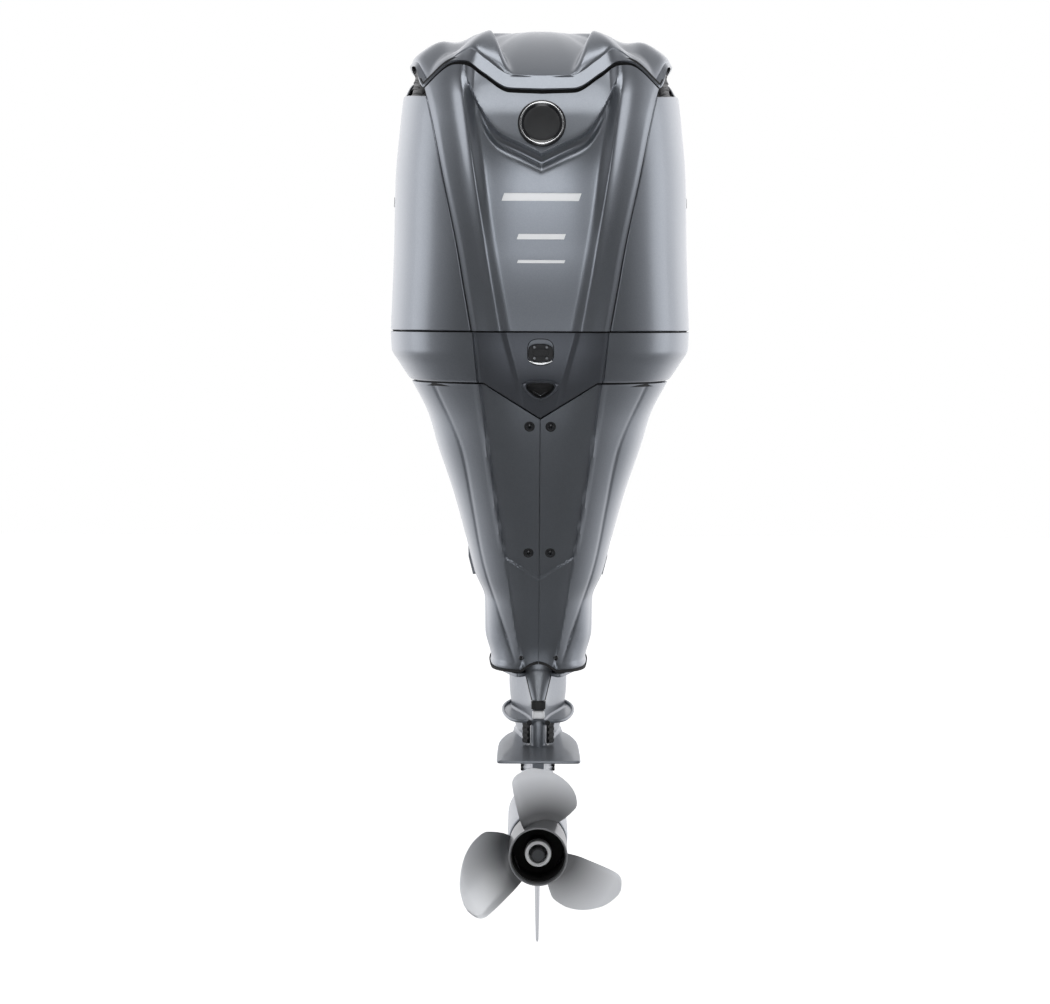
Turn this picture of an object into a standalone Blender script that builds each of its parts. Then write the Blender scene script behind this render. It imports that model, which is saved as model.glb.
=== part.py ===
"""Large V6 outboard motor, modelled as a bench assembly of separate pieces.

Frame: metres, +Z up, +Y forward (towards the boat), +X starboard.
The origin is on the centreline, where the boat's transom meets the clamp brackets:
Y = 0 is the transom's aft face and Z = 0 is its top edge.
"""

import math

import bmesh
import bpy
import numpy as np
from mathutils import Matrix, Vector

# ---------------------------------------------------------------- driving dimensions
GAP = 0.0004                    # clearance that touching pieces keep
TOP = 0.828                     # highest point of the cowl
COWL_SEAM = 0.204               # where the top cowl meets the bottom cowl
SHIELD_TIP = 0.035              # lowest point of the rear shield
APRON_BOTTOM = -0.490           # underside of the apron
LOWER_TOP = -0.4955             # joint between leg housing and gearcase
SPLASH_PLATE = -0.596
VENTILATION_PLATE = -0.650      # underside of the anti-ventilation plate
SHAFT_Z = -0.838                # propeller shaft axis
SKEG_BOTTOM = -1.061

TILT_Y, TILT_Z = 0.030, 0.035   # tilt tube axis
STEER_Y = -0.135                # steering axis, vertical
DRIVE_Y = -0.265                # crankshaft and drive shaft axis, vertical
WIDEST_Y = -0.250               # station of the cowl's greatest width

RAM_LOW = (-0.040, -0.310)      # tilt ram's lower pin (Y, Z)
RAM_HIGH = (-0.065, -0.020)     # tilt ram's upper trunnions (Y, Z)

PINION_TEETH, GEAR_TEETH = 12, 21
GEAR_PITCH_R = 0.044
PINION_PITCH_R = GEAR_PITCH_R * PINION_TEETH / GEAR_TEETH

# outline (X, Z) of the exhaust relief outlet in the rear shield
OUTLET = [(-0.024, 0.092), (-0.014, 0.104), (0.014, 0.104), (0.024, 0.092),
          (0.014, 0.078), (0.0, 0.070), (-0.014, 0.078)]

PROP_R = 0.1785
PROP_PITCH = 0.483
BLADES = 3
HUB_R = 0.0575

PAINT = (0.30, 0.32, 0.35)
DARK_PAINT = (0.12, 0.13, 0.155)
BLACK = (0.02, 0.02, 0.022)
STEEL = (0.62, 0.63, 0.64)
ALLOY = (0.45, 0.46, 0.48)
RUBBER = (0.03, 0.03, 0.03)
ZINC = (0.55, 0.56, 0.57)


# ---------------------------------------------------------------- small tools
def clear_scene():
    for obj in list(bpy.data.objects):
        bpy.data.objects.remove(obj, do_unlink=True)


def material(name, colour, roughness, metallic):
    found = bpy.data.materials.get(name)
    if found:
        return found
    made = bpy.data.materials.new(name)
    made.use_nodes = True
    shader = made.node_tree.nodes["Principled BSDF"]
    shader.inputs["Base Color"].default_value = (*colour, 1.0)
    shader.inputs["Roughness"].default_value = roughness
    shader.inputs["Metallic"].default_value = metallic
    return made


def painted():
    return material("cowl_paint", PAINT, 0.35, 0.6)


def dark_painted():
    return material("dark_paint", DARK_PAINT, 0.4, 0.5)


def alloy():
    return material("cast_alloy", ALLOY, 0.5, 0.8)


def steel():
    return material("steel", STEEL, 0.3, 1.0)


def black_plastic():
    return material("black_plastic", BLACK, 0.5, 0.0)


def rubber():
    return material("rubber", RUBBER, 0.8, 0.0)


def zinc():
    return material("zinc", ZINC, 0.6, 0.9)


def add(name, bm, finish, smooth_angle=35.0):
    """Puts a finished bmesh in the scene as one object."""
    bm.normal_update()
    bmesh.ops.recalc_face_normals(bm, faces=bm.faces)
    mesh = bpy.data.meshes.new(name)
    bm.to_mesh(mesh)
    bm.free()
    mesh.shade_smooth()
    mesh.set_sharp_from_angle(angle=math.radians(smooth_angle))
    mesh.materials.append(finish)
    obj = bpy.data.objects.new(name, mesh)
    bpy.context.scene.collection.objects.link(obj)
    return obj


def helper(obj):
    """Marks an object as a Boolean operand and not a part."""
    obj.hide_render = True
    obj.display_type = "WIRE"
    return obj


def boolean(target, operands, operation):
    for operand in operands:
        step = target.modifiers.new(operation.lower(), "BOOLEAN")
        step.operation = operation
        step.solver = "EXACT"
        step.object = helper(operand)
    return target


def cut(target, *cutters):
    return boolean(target, cutters, "DIFFERENCE")


def join(target, *others):
    return boolean(target, others, "UNION")


def box(name, low, high, finish=None, bevel=0.0):
    bm = bmesh.new()
    bmesh.ops.create_cube(bm, size=1.0)
    low, high = Vector(low), Vector(high)
    size = high - low
    bmesh.ops.scale(bm, vec=size, verts=bm.verts)
    bmesh.ops.translate(bm, vec=(low + high) / 2, verts=bm.verts)
    if bevel:
        bmesh.ops.bevel(bm, geom=bm.edges[:], offset=bevel, segments=1, affect="EDGES")
    return add(name, bm, finish or painted())


def rod(name, start, end, radius, sides=24, finish=None, end_radius=None):
    """A cylinder, or a cone, between two points."""
    start, end = Vector(start), Vector(end)
    bm = bmesh.new()
    bmesh.ops.create_cone(
        bm,
        cap_ends=True,
        segments=sides,
        radius1=radius,
        radius2=radius if end_radius is None else end_radius,
        depth=(end - start).length,
    )
    turn = (end - start).to_track_quat("Z", "Y").to_matrix().to_4x4()
    bm.transform(Matrix.Translation((start + end) / 2) @ turn)
    return add(name, bm, finish or steel())


def turned(name, profile, origin, axis, sides=32, finish=None):
    """A lathe shape: profile is a closed loop of (radius, height) about axis through origin."""
    bm = bmesh.new()
    rows = []
    for step in range(sides):
        angle = 2 * math.pi * step / sides
        rows.append([
            bm.verts.new((r * math.cos(angle), r * math.sin(angle), h)) if r > 1e-9 else None
            for r, h in profile
        ])
    poles = {
        k: bm.verts.new((0, 0, h)) for k, (r, h) in enumerate(profile) if r <= 1e-9
    }
    for step in range(sides):
        here, there = rows[step], rows[(step + 1) % sides]
        for k in range(len(profile)):
            m = (k + 1) % len(profile)
            corners = [here[k], there[k], there[m], here[m]]
            if k in poles and m in poles:
                continue
            if k in poles:
                corners = [poles[k], there[m], here[m]]
            elif m in poles:
                corners = [here[k], there[k], poles[m]]
            bm.faces.new(corners)
    turn = Vector(axis).to_track_quat("Z", "Y").to_matrix().to_4x4()
    bm.transform(Matrix.Translation(Vector(origin)) @ turn)
    return add(name, bm, finish or steel())


def plate(name, outline, low, high, normal="X", finish=None):
    """A flat outline extruded between two levels along one axis; it lists the other two in order."""
    def place(p, level):
        spots = {"X": (level, p[0], p[1]), "Y": (p[0], level, p[1]), "Z": (p[0], p[1], level)}
        return spots[normal]

    bm = bmesh.new()
    face = bm.faces.new([bm.verts.new(place(p, low)) for p in outline])
    made = bmesh.ops.extrude_face_region(bm, geom=[face])
    lifted = [v for v in made["geom"] if isinstance(v, bmesh.types.BMVert)]
    bmesh.ops.translate(bm, vec=Vector(place((0, 0), high - low)), verts=lifted)
    return add(name, bm, finish or painted())


def lofted(name, rings, finish=None):
    """A solid through closed rings of equal point counts, capped at both ends."""
    bm = bmesh.new()
    rows = [[bm.verts.new(tuple(map(float, p))) for p in ring] for ring in rings]
    count = len(rows[0])
    for lower, upper in zip(rows, rows[1:]):
        for k in range(count):
            m = (k + 1) % count
            bm.faces.new([lower[k], lower[m], upper[m], upper[k]])
    bm.faces.new(rows[0])
    bm.faces.new(rows[-1])
    bmesh.ops.triangulate(bm, faces=bm.faces)
    return add(name, bm, finish or painted())


def shell(name, outer, inner, finish, closed=False):
    """A wall between two equal grids of points; closed joins the first column to the last."""
    bm = bmesh.new()
    grids = [
        [[bm.verts.new(tuple(map(float, p))) for p in row] for row in grid]
        for grid in (outer, inner)
    ]
    rows, columns = len(outer), len(outer[0])
    spans = columns if closed else columns - 1
    for grid in grids:
        for i in range(rows - 1):
            for j in range(spans):
                m = (j + 1) % columns
                bm.faces.new([grid[i][j], grid[i][m], grid[i + 1][m], grid[i + 1][j]])
    skin, lining = grids
    for i in (0, rows - 1):
        for j in range(spans):
            m = (j + 1) % columns
            bm.faces.new([skin[i][j], skin[i][m], lining[i][m], lining[i][j]])
    if not closed:
        for j in (0, columns - 1):
            for i in range(rows - 1):
                bm.faces.new([skin[i][j], skin[i + 1][j], lining[i + 1][j], lining[i][j]])
    return add(name, bm, finish)


def curve(*points):
    """A smooth function through (x, y) points, with no overshoot between them."""
    xs = np.array([p[0] for p in points], float)
    ys = np.array([p[1] for p in points], float)
    if xs[0] > xs[-1]:
        xs, ys = xs[::-1], ys[::-1]
    steps = np.diff(xs)
    slopes = np.diff(ys) / steps
    tangents = np.zeros(len(xs))
    tangents[0], tangents[-1] = slopes[0], slopes[-1]
    for k in range(1, len(xs) - 1):
        if slopes[k - 1] * slopes[k] > 0:
            weight_a = 2 * steps[k] + steps[k - 1]
            weight_b = steps[k] + 2 * steps[k - 1]
            total = weight_a + weight_b
            tangents[k] = total / (weight_a / slopes[k - 1] + weight_b / slopes[k])

    def value(x):
        x = np.clip(x, xs[0], xs[-1])
        k = np.clip(np.searchsorted(xs, x) - 1, 0, len(xs) - 2)
        t = (x - xs[k]) / steps[k]
        return (
            ys[k] * (1 + 2 * t) * (1 - t) ** 2
            + steps[k] * tangents[k] * t * (1 - t) ** 2
            + ys[k + 1] * t * t * (3 - 2 * t)
            + steps[k] * tangents[k + 1] * t * t * (t - 1)
        )

    return value


def smooth(t):
    t = np.clip(t, 0.0, 1.0)
    return t * t * (3 - 2 * t)


# ---------------------------------------------------------------- plan outlines
class Outline:
    """A family of plan sections of a hull, one for each height.

    Each section is an oval with squarish corners. Its half runs from the rear centre, s = 0,
    round the widest station to the front centre, s = 1, by length along the curve.
    """

    def __init__(self, width, rear, front, widest, square_rear, square_front):
        self.width, self.rear, self.front = width, rear, front
        self.widest = widest
        self.square_rear, self.square_front = square_rear, square_front

    def half(self, z, inset=0.0):
        """Points (x, y) of the starboard half, rear centre to front centre, and their s."""
        w = self.width(z) - inset
        aft = self.widest - self.rear(z) - inset
        fore = self.front(z) - self.widest - inset
        a = np.linspace(0, np.pi / 2, 121)
        pr, pf = 2 / self.square_rear, 2 / self.square_front
        rear_x, rear_y = w * np.sin(a) ** pr, self.widest - aft * np.cos(a) ** pr
        front_x, front_y = w * np.sin(a) ** pf, self.widest + fore * np.cos(a) ** pf
        x = np.concatenate([rear_x, front_x[::-1][1:]])
        y = np.concatenate([rear_y, front_y[::-1][1:]])
        run = np.concatenate([[0], np.cumsum(np.hypot(np.diff(x), np.diff(y)))])
        return x, y, run / run[-1]

    def s_at_x(self, z, x_wanted):
        """Where the rear of the section reaches a half width."""
        x, _, s = self.half(z)
        k = int(np.argmax(x))
        return float(np.interp(x_wanted, x[: k + 1], s[: k + 1]))

    def at(self, z, s, inset=0.0):
        """The point at signed s: positive to starboard, negative to port."""
        x, y, run = self.half(z, inset)
        side = -1.0 if s < 0 else 1.0
        return side * float(np.interp(abs(s), run, x)), float(np.interp(abs(s), run, y))


COWL = Outline(
    width=curve((0.204, 0.312), (0.365, 0.305), (0.52, 0.301), (0.62, 0.292), (0.675, 0.286), (0.745, 0.272)),
    rear=curve((0.204, -0.665), (0.36, -0.693), (0.53, -0.710),
               (0.62, -0.704), (0.68, -0.690), (0.745, -0.662)),
    front=curve((0.204, 0.150), (0.45, 0.165), (0.65, 0.150), (0.745, 0.118)),
    widest=WIDEST_Y,
    square_rear=3.0,
    square_front=2.5,
)
PAN = Outline(
    width=curve((0.100, 0.268), (0.112, 0.276), (0.138, 0.293), (0.168, 0.310), (0.204, 0.312)),
    rear=curve((0.035, -0.618), (0.105, -0.645), (0.204, -0.665)),
    front=curve((0.100, 0.120), (0.160, 0.147), (0.204, 0.150)),
    widest=WIDEST_Y,
    square_rear=3.0,
    square_front=2.5,
)
APRON = Outline(
    width=curve(
        (-0.494, 0.096), (-0.47, 0.100), (-0.42, 0.112), (-0.352, 0.113), (-0.30, 0.133),
        (-0.234, 0.150), (-0.132, 0.178), (-0.031, 0.212), (0.036, 0.232), (0.102, 0.266),
    ),
    rear=curve(
        (-0.494, -0.478), (-0.45, -0.474), (-0.40, -0.488), (-0.30, -0.525), (-0.15, -0.575),
        (0.0, -0.620), (0.102, -0.643),
    ),
    front=curve((-0.494, -0.060), (0.102, -0.030)),
    widest=-0.330,
    square_rear=2.7,
    square_front=2.3,
)

rear_seam = curve((0.204, 0.1345), (0.30, 0.151), (0.36, 0.161), (0.50, 0.190), (0.66, 0.224), (0.70, 0.236))
rear_ridge = curve((0.204, 0.080), (0.33, 0.1025), (0.40, 0.114), (0.47, 0.125), (0.60, 0.144), (0.70, 0.158))
shelf_edge = curve((0.0, 0.552), (0.053, 0.570), (0.093, 0.596), (0.125, 0.640), (0.150, 0.700))
cap_rear_edge = curve((0.0, 0.674), (0.062, 0.676), (0.115, 0.708),
                      (0.150, 0.733), (0.170, 0.735), (0.236, 0.690))
cap_side_edge = curve((0.0, 0.690), (0.10, 0.738), (0.25, 0.747), (1.0, 0.742))
shell_top_edge = curve((0.0, 0.668), (0.10, 0.676), (0.30, 0.690), (0.45, 0.728), (0.55, 0.741), (1.0, 0.737))
shield_seam = curve((0.100, 0.122), (0.204, 0.131))
apron_ridge = curve((-0.49, 0.032), (-0.44, 0.0426), (-0.246, 0.072),
                    (-0.145, 0.088), (-0.041, 0.103), (0.108, 0.123))
apron_crease = curve((-0.47, 0.050), (-0.385, 0.078), (-0.26, 0.116),
                     (-0.146, 0.136), (-0.041, 0.155), (0.10, 0.214))


def cowl_relief(x, z):
    """How far the rear of the top cowl stands out from its plain section."""
    x = abs(x)
    ridge = 0.011 * math.exp(-(((x - rear_ridge(z)) / 0.013) ** 2))
    channel = -0.006 * smooth((rear_ridge(z) - x) / 0.02)
    shelf = 0.014 * smooth((z - shelf_edge(x)) / 0.008) * smooth((0.150 - x) / 0.02)
    return ridge + channel + shelf


def apron_relief(x, z):
    x = abs(x)
    inside = smooth((apron_ridge(z) - x) / 0.006)
    outside = smooth((x - apron_crease(z)) / 0.03)
    return -0.006 * inside - 0.008 * outside * smooth((0.5 + z) / 0.1)


# ---------------------------------------------------------------- cowling
def cowl_shell():
    """The wrap-round moulding: from the port seam, round the front, to the starboard seam."""
    wall, columns, rows = 0.0045, 13, 6
    bottom = COWL_SEAM + 0.003

    def point(f, b, inset):
        top = float(shell_top_edge(abs(f)))
        z = bottom + b * (top - bottom)
        start = COWL.s_at_x(z, float(rear_seam(z))) + 0.004
        s = start + (1 - start) * abs(f)
        return (*COWL.at(z, s if f >= 0 else -s, inset), z)

    fractions = [k / columns for k in range(columns + 1)]
    around = [-f for f in fractions] + fractions[::-1][1:]
    grids = []
    for inset in (0.0, wall):
        grids.append([[point(f if k > columns else (f or -1e-12), b / rows, inset)
                       for k, f in enumerate(around)] for b in range(rows + 1)])
    return shell("cowl_shell", *grids, painted())


def rear_top(x):
    """Height of the cowl's rear edge under the top cap."""
    return float(cap_rear_edge(abs(x))) - 0.006


def cowl_rear_panel():
    wall, half_columns, rows = 0.004, 9, 9
    bottom = COWL_SEAM + 0.003

    def point(f, b, inset):
        z = bottom
        for _ in range(6):
            x = f * float(rear_seam(z))
            z = bottom + b * (rear_top(x) - bottom)
        s = COWL.s_at_x(z, abs(x)) * (1 if f >= 0 else -1)
        px, py = COWL.at(z, s, inset)
        return px, py - cowl_relief(px, z), z

    columns = [k / half_columns for k in range(-half_columns, half_columns + 1)]
    grids = [[[point(f, b / rows, inset) for f in columns] for b in range(rows + 1)]
             for inset in (0.0, wall)]
    return shell("cowl_rear_panel", *grids, painted())


def cap_edge_point(g, inset=0.0):
    """The cap's lower edge at signed g: the rear W for |g| up to a third, then the side edge."""
    a, third = abs(g), 1 / 3
    if a <= third:
        x = 0.236 * a / third
        z = float(cap_rear_edge(x))
        s = COWL.s_at_x(z, x)
    else:
        f = (a - third) / (1 - third)
        z = float(cap_side_edge(f))
        start = COWL.s_at_x(0.69, 0.236)
        s = start + (1 - start) * f
    x, y = COWL.at(z, s, inset)
    return Vector((-x if g < 0 else x, y, z))


def cap_point(g, q, inset):
    """A point of the dome: q = 0 on the lower edge and 1 at the crown."""
    crown = Vector((0, -0.26, TOP - inset))
    edge = cap_edge_point(g, inset)
    angle = q * math.pi / 2
    run, reach = abs(edge.y - crown.y), abs(edge.x)
    fullness = 0.70 + 0.22 * run / (run + reach)
    near = math.cos(angle) ** fullness
    rise = math.sin(angle) ** fullness
    p = Vector((
        edge.x * near,
        crown.y + (edge.y - crown.y) * near,
        edge.z + (crown.z - edge.z) * rise,
    ))
    aft = smooth((-0.30 - p.y) / 0.12)
    scoop = -0.016 * aft * smooth((0.115 - abs(p.x)) / 0.04) * smooth(q / 0.25)
    ridge = 0.006 * aft * math.exp(-(((abs(p.x) - 0.128) / 0.016) ** 2)) * smooth(q / 0.3)
    p.z += (scoop + ridge) * smooth((1 - q) / 0.2)
    if edge.y < -0.5:
        p.y -= 0.012 * smooth((0.160 - abs(p.x)) / 0.03) * (1 - smooth(q / 0.5))
    return p


def cowl_top_cap():
    wall, half_columns, rows = 0.004, 15, 5
    columns = [k / half_columns for k in range(-half_columns, half_columns)]
    bm = bmesh.new()
    grids = []
    for inset in (0.0, wall):
        grid = [[bm.verts.new(cap_point(g, q / rows, inset)) for g in columns] for q in range(rows)]
        pole = bm.verts.new((0, -0.26, TOP - inset))
        grids.append((grid, pole))
    count = len(columns)
    for grid, pole in grids:
        for j in range(count):
            m = (j + 1) % count
            for i in range(rows - 1):
                bm.faces.new([grid[i][j], grid[i][m], grid[i + 1][m], grid[i + 1][j]])
            bm.faces.new([grid[rows - 1][j], grid[rows - 1][m], pole])
    skin, lining = grids[0][0], grids[1][0]
    for j in range(count):
        m = (j + 1) % count
        bm.faces.new([skin[0][j], skin[0][m], lining[0][m], lining[0][j]])
    return add("cowl_top_cap", bm, painted())


def air_intake_grille(name, side):
    """The dark louvre strip between the cap's side edge and the shell's top edge."""
    columns, rows = 10, 3

    def point(k, b, inset):
        f = 0.02 + 0.36 * k / columns
        low, high = float(shell_top_edge(f)) + 0.002, float(cap_side_edge(f)) - 0.002
        z = low + (high - low) * b / rows
        start = COWL.s_at_x(z, 0.236)
        x, y = COWL.at(z, start + (1 - start) * f, inset)
        return side * x, y, z

    grids = [[[point(k, b, inset) for k in range(columns + 1)] for b in range(rows + 1)]
             for inset in (0.012, 0.016)]
    return shell(name, *grids, black_plastic())


def badge_disc():
    """A plain round badge on the shelf of the rear panel."""
    low, middle, high = (
        Vector((0, COWL.at(z, 0.0)[1] - cowl_relief(0.0, z), z)) for z in (0.569, 0.609, 0.649)
    )
    outward = (high - low).cross(Vector((-1, 0, 0))).normalized()
    if outward.y > 0:
        outward = -outward
    return rod("badge_disc", middle + 0.002 * outward, middle + 0.006 * outward, 0.0445, 32, black_plastic())


def bottom_cowl():
    """The pan: an outer wall that tapers in, a floor, and a central opening for the leg."""
    half = 16
    wall = 0.005
    levels = [0.204, 0.170, 0.138, 0.1055]

    def ring(z, inset):
        """Follows the wall, stepping in 7.5 mm behind the rear shield."""
        seam = PAN.s_at_x(z, float(shield_seam(z)))
        steps = [(seam + 0.002) * k / 3 for k in range(4)]
        steps += [seam + 0.004 + (0.996 - seam) * k / 12 for k in range(13)]
        both = [-s for s in steps[1:-1]][::-1] + steps
        points = []
        for s in both:
            x, y = PAN.at(z, s, inset)
            points.append((x, y + (0.0075 if abs(s) < seam + 0.003 else 0.0), z))
        return points

    def hole(z):
        points = []
        for k in range(-half + 1, half + 1):
            angle = math.pi * k / half
            across, along = math.sin(angle), math.cos(angle)
            x = math.copysign(0.150 * abs(across) ** 0.5, across)
            y = -0.330 - math.copysign(0.175 * abs(along) ** 0.5, along)
            points.append((x, y, z))
        return points

    rings = [ring(z, 0.0) for z in levels]
    rings += [hole(0.1055), hole(0.1115)]
    rings += [ring(0.1115, wall + 0.003), ring(0.150, wall), ring(0.204, wall)]
    bm = bmesh.new()
    rows = [[bm.verts.new(p) for p in r] for r in rings]
    count = len(rows[0])
    for a in range(len(rows)):
        b = (a + 1) % len(rows)
        for k in range(count):
            m = (k + 1) % count
            bm.faces.new([rows[a][k], rows[a][m], rows[b][m], rows[b][k]])
    made = add("bottom_cowl", bm, painted())
    return cut(made, box("switch_window", (0.28, -0.264, 0.156), (0.33, -0.236, 0.180)))


def shield_bottom(x):
    """Lower edge of the rear shield: a V with short level ends."""
    return SHIELD_TIP + 0.070 * float(np.clip(abs(x) / 0.112, 0, 1))


def rear_shield():
    """The dark V-shaped panel on the rear of the bottom cowl, with the two openings."""
    half_columns, rows, wall = 4, 4, 0.0045

    def point(f, b, inset):
        z = 0.15
        for _ in range(6):
            x = f * float(shield_seam(z)) * 0.985
            low = shield_bottom(x)
            z = low + b * (COWL_SEAM - low)
        y = PAN.at(z, PAN.s_at_x(z, abs(x)))[1] + inset
        return x, y, z

    columns = [k / half_columns for k in range(-half_columns, half_columns + 1)]
    grids = [[[point(f, b / rows, inset) for f in columns] for b in range(rows + 1)]
             for inset in (0.0, wall)]
    made = shell("rear_shield", *grids, dark_painted())
    window = box("latch_window", (-0.0245, -0.70, 0.146), (0.0245, -0.60, 0.188))
    outlet = plate("outlet_window", OUTLET, -0.70, -0.60, "Y")
    return cut(made, window, outlet)


def cowl_seal():
    """A flat gasket standing on the bottom cowl's rim."""
    def ring(inset, z):
        return [(*PAN.at(COWL_SEAM, k / 14, inset), z) for k in range(-13, 15)]

    low, high = COWL_SEAM + GAP, COWL_SEAM + 0.0026
    rings = [ring(0.0045, low), ring(0.0085, low), ring(0.0085, high), ring(0.0045, high)]
    rows = rings + [rings[0]]
    return shell_loop("cowl_seal", rows, rubber())


def shell_loop(name, rows, finish):
    """A closed band through closed rings, the last of which repeats the first."""
    bm = bmesh.new()
    made = [[bm.verts.new(tuple(map(float, p))) for p in row] for row in rows[:-1]]
    count = len(made[0])
    for a in range(len(made)):
        b = (a + 1) % len(made)
        for k in range(count):
            m = (k + 1) % count
            bm.faces.new([made[a][k], made[a][m], made[b][m], made[b][k]])
    return add(name, bm, finish)


def rear_latch_lever():
    y = PAN.rear(0.167)
    outline = [(y + 0.0015, 0.182), (y + 0.0015, 0.158), (y - 0.001, 0.150), (y - 0.006, 0.150),
               (y - 0.0035, 0.158), (y - 0.0035, 0.182)]
    return plate("rear_latch_lever", outline, -0.0225, 0.0225, "X", dark_painted())


def exhaust_outlet_bezel():
    """A thin frame standing proud of the outlet in the rear shield."""
    middle = 0.087
    y = float(PAN.rear(middle))
    lean = float(PAN.rear(middle + 0.02) - PAN.rear(middle - 0.02)) / 0.04
    grown = [(1.22 * x, middle + 1.25 * (z - middle)) for x, z in OUTLET]
    frame = plate("exhaust_outlet_bezel", grown, y - 0.0055, y - 0.0015, "Y", dark_painted())
    for vertex in frame.data.vertices:
        vertex.co.y += lean * (vertex.co.z - middle)
    return cut(frame, plate("bezel_hole", OUTLET, y - 0.03, y + 0.03, "Y"))


def tilt_switch():
    return box("tilt_switch", (0.302, -0.262, 0.1585), (0.3105, -0.238, 0.1775), black_plastic())


# ---------------------------------------------------------------- leg
def apron_half(name, side):
    """One half of the shroud round the leg; the halves meet on the rear centreline."""
    wall, columns, rows = 0.004, 9, 8
    front_y = -0.200

    def point(f, b, inset):
        z = 0.0
        for _ in range(5):
            x, y, run = APRON.half(z)
            k = int(np.argmax(x))
            end = float(np.interp(front_y, y[k:], run[k:])) if y[k] < front_y else float(run[k])
            s = 0.0012 + (end - 0.0012) * f
            px, py = APRON.at(z, s, inset)
            top = min(0.1015, shield_bottom(px) - 0.004) if py < -0.45 else 0.1015
            low = APRON_BOTTOM
            z = low + b * (top - low)
        rear_face = py < -0.36
        if rear_face:
            py -= apron_relief(px, z)
        return side * px, py, z

    grids = [[[point((k / columns), b / rows, inset) for k in range(columns + 1)]
              for b in range(rows + 1)] for inset in (0.0, wall)]
    return shell(name, *grids, painted())


def apron_screw(number, x, z):
    """A button-headed screw near the apron's rear seam."""
    s = APRON.s_at_x(z, abs(x))
    y = APRON.at(z, s)[1] - apron_relief(x, z)
    return rod(f"apron_screw_{number}", (x, y - GAP - 0.0002, z), (x, y - 0.0032, z), 0.0052, 16, steel())


def midsection_housing():
    """The exhaust housing: a hollow tapered box between the engine and the gearcase."""
    def ring(half_width, fore, aft, z, corner):
        pts = []
        for cx, cy, start in (
            (half_width - corner, fore - corner, 0),
            (-half_width + corner, fore - corner, 90),
            (-half_width + corner, aft + corner, 180),
            (half_width - corner, aft + corner, 270),
        ):
            for k in range(3):
                a = math.radians(start + 45 * k)
                pts.append((cx + corner * math.cos(a), cy + corner * math.sin(a), z))
        return pts

    flange_low, flange_top = 0.086, 0.100
    bottom = LOWER_TOP + GAP
    outer = [
        ring(0.076, -0.190, -0.445, bottom, 0.03),
        ring(0.076, -0.190, -0.445, bottom + 0.010, 0.03),
        ring(0.062, -0.190, -0.438, bottom + 0.014, 0.03),
        ring(0.070, -0.190, -0.450, -0.30, 0.03),
        ring(0.100, -0.190, -0.480, -0.08, 0.03),
        ring(0.125, -0.190, -0.505, flange_low - 0.004, 0.03),
        ring(0.150, -0.190, -0.520, flange_low, 0.03),
        ring(0.150, -0.190, -0.520, flange_top, 0.03),
    ]
    made = lofted("midsection_housing", outer, alloy())
    inner = [
        ring(0.052, -0.1975, -0.430, bottom - 0.02, 0.02),
        ring(0.060, -0.1975, -0.440, -0.30, 0.02),
        ring(0.088, -0.1975, -0.468, -0.08, 0.02),
        ring(0.112, -0.1975, -0.490, flange_top + 0.02, 0.02),
    ]
    return cut(made, lofted("midsection_core", inner))


def strut_ring(z):
    """A section of the gearcase strut: rounded nose, widest forward of the middle, blunt tail."""
    half = float(strut_half(z))
    nose, tail = float(strut_nose(z)), float(strut_tail(z))
    tail_half = 0.014
    fractions = [0.0, 0.02, 0.08, 0.18, 0.32, 0.50, 0.72, 1.0]
    side = []
    for t in fractions:
        full = half * math.sqrt(1 - (1 - min(t / 0.32, 1)) ** 2)
        if t > 0.32:
            full = half + (tail_half - half) * smooth((t - 0.32) / 0.68)
        side.append((float(full), nose + (tail - nose) * t))
    starboard = [(x, y, z) for x, y in side]
    port = [(-x, y, z) for x, y in side[1:]][::-1]
    return starboard + port


strut_half = curve((-0.80, 0.034), (-0.70, 0.034), (-0.655, 0.042),
                   (-0.60, 0.055), (-0.54, 0.061), (-0.49, 0.061))
strut_nose = curve((-0.80, -0.172), (-0.70, -0.170), (-0.60, -0.165), (-0.49, -0.165))
strut_tail = curve((-0.80, -0.490), (-0.70, -0.500), (-0.60, -0.500), (-0.49, -0.450))


def mirrored(outline):
    """A symmetric outline from its starboard half, which starts and ends on the centreline."""
    return outline + [(-x, y) for x, y in outline[::-1] if x > 1e-9]


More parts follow.
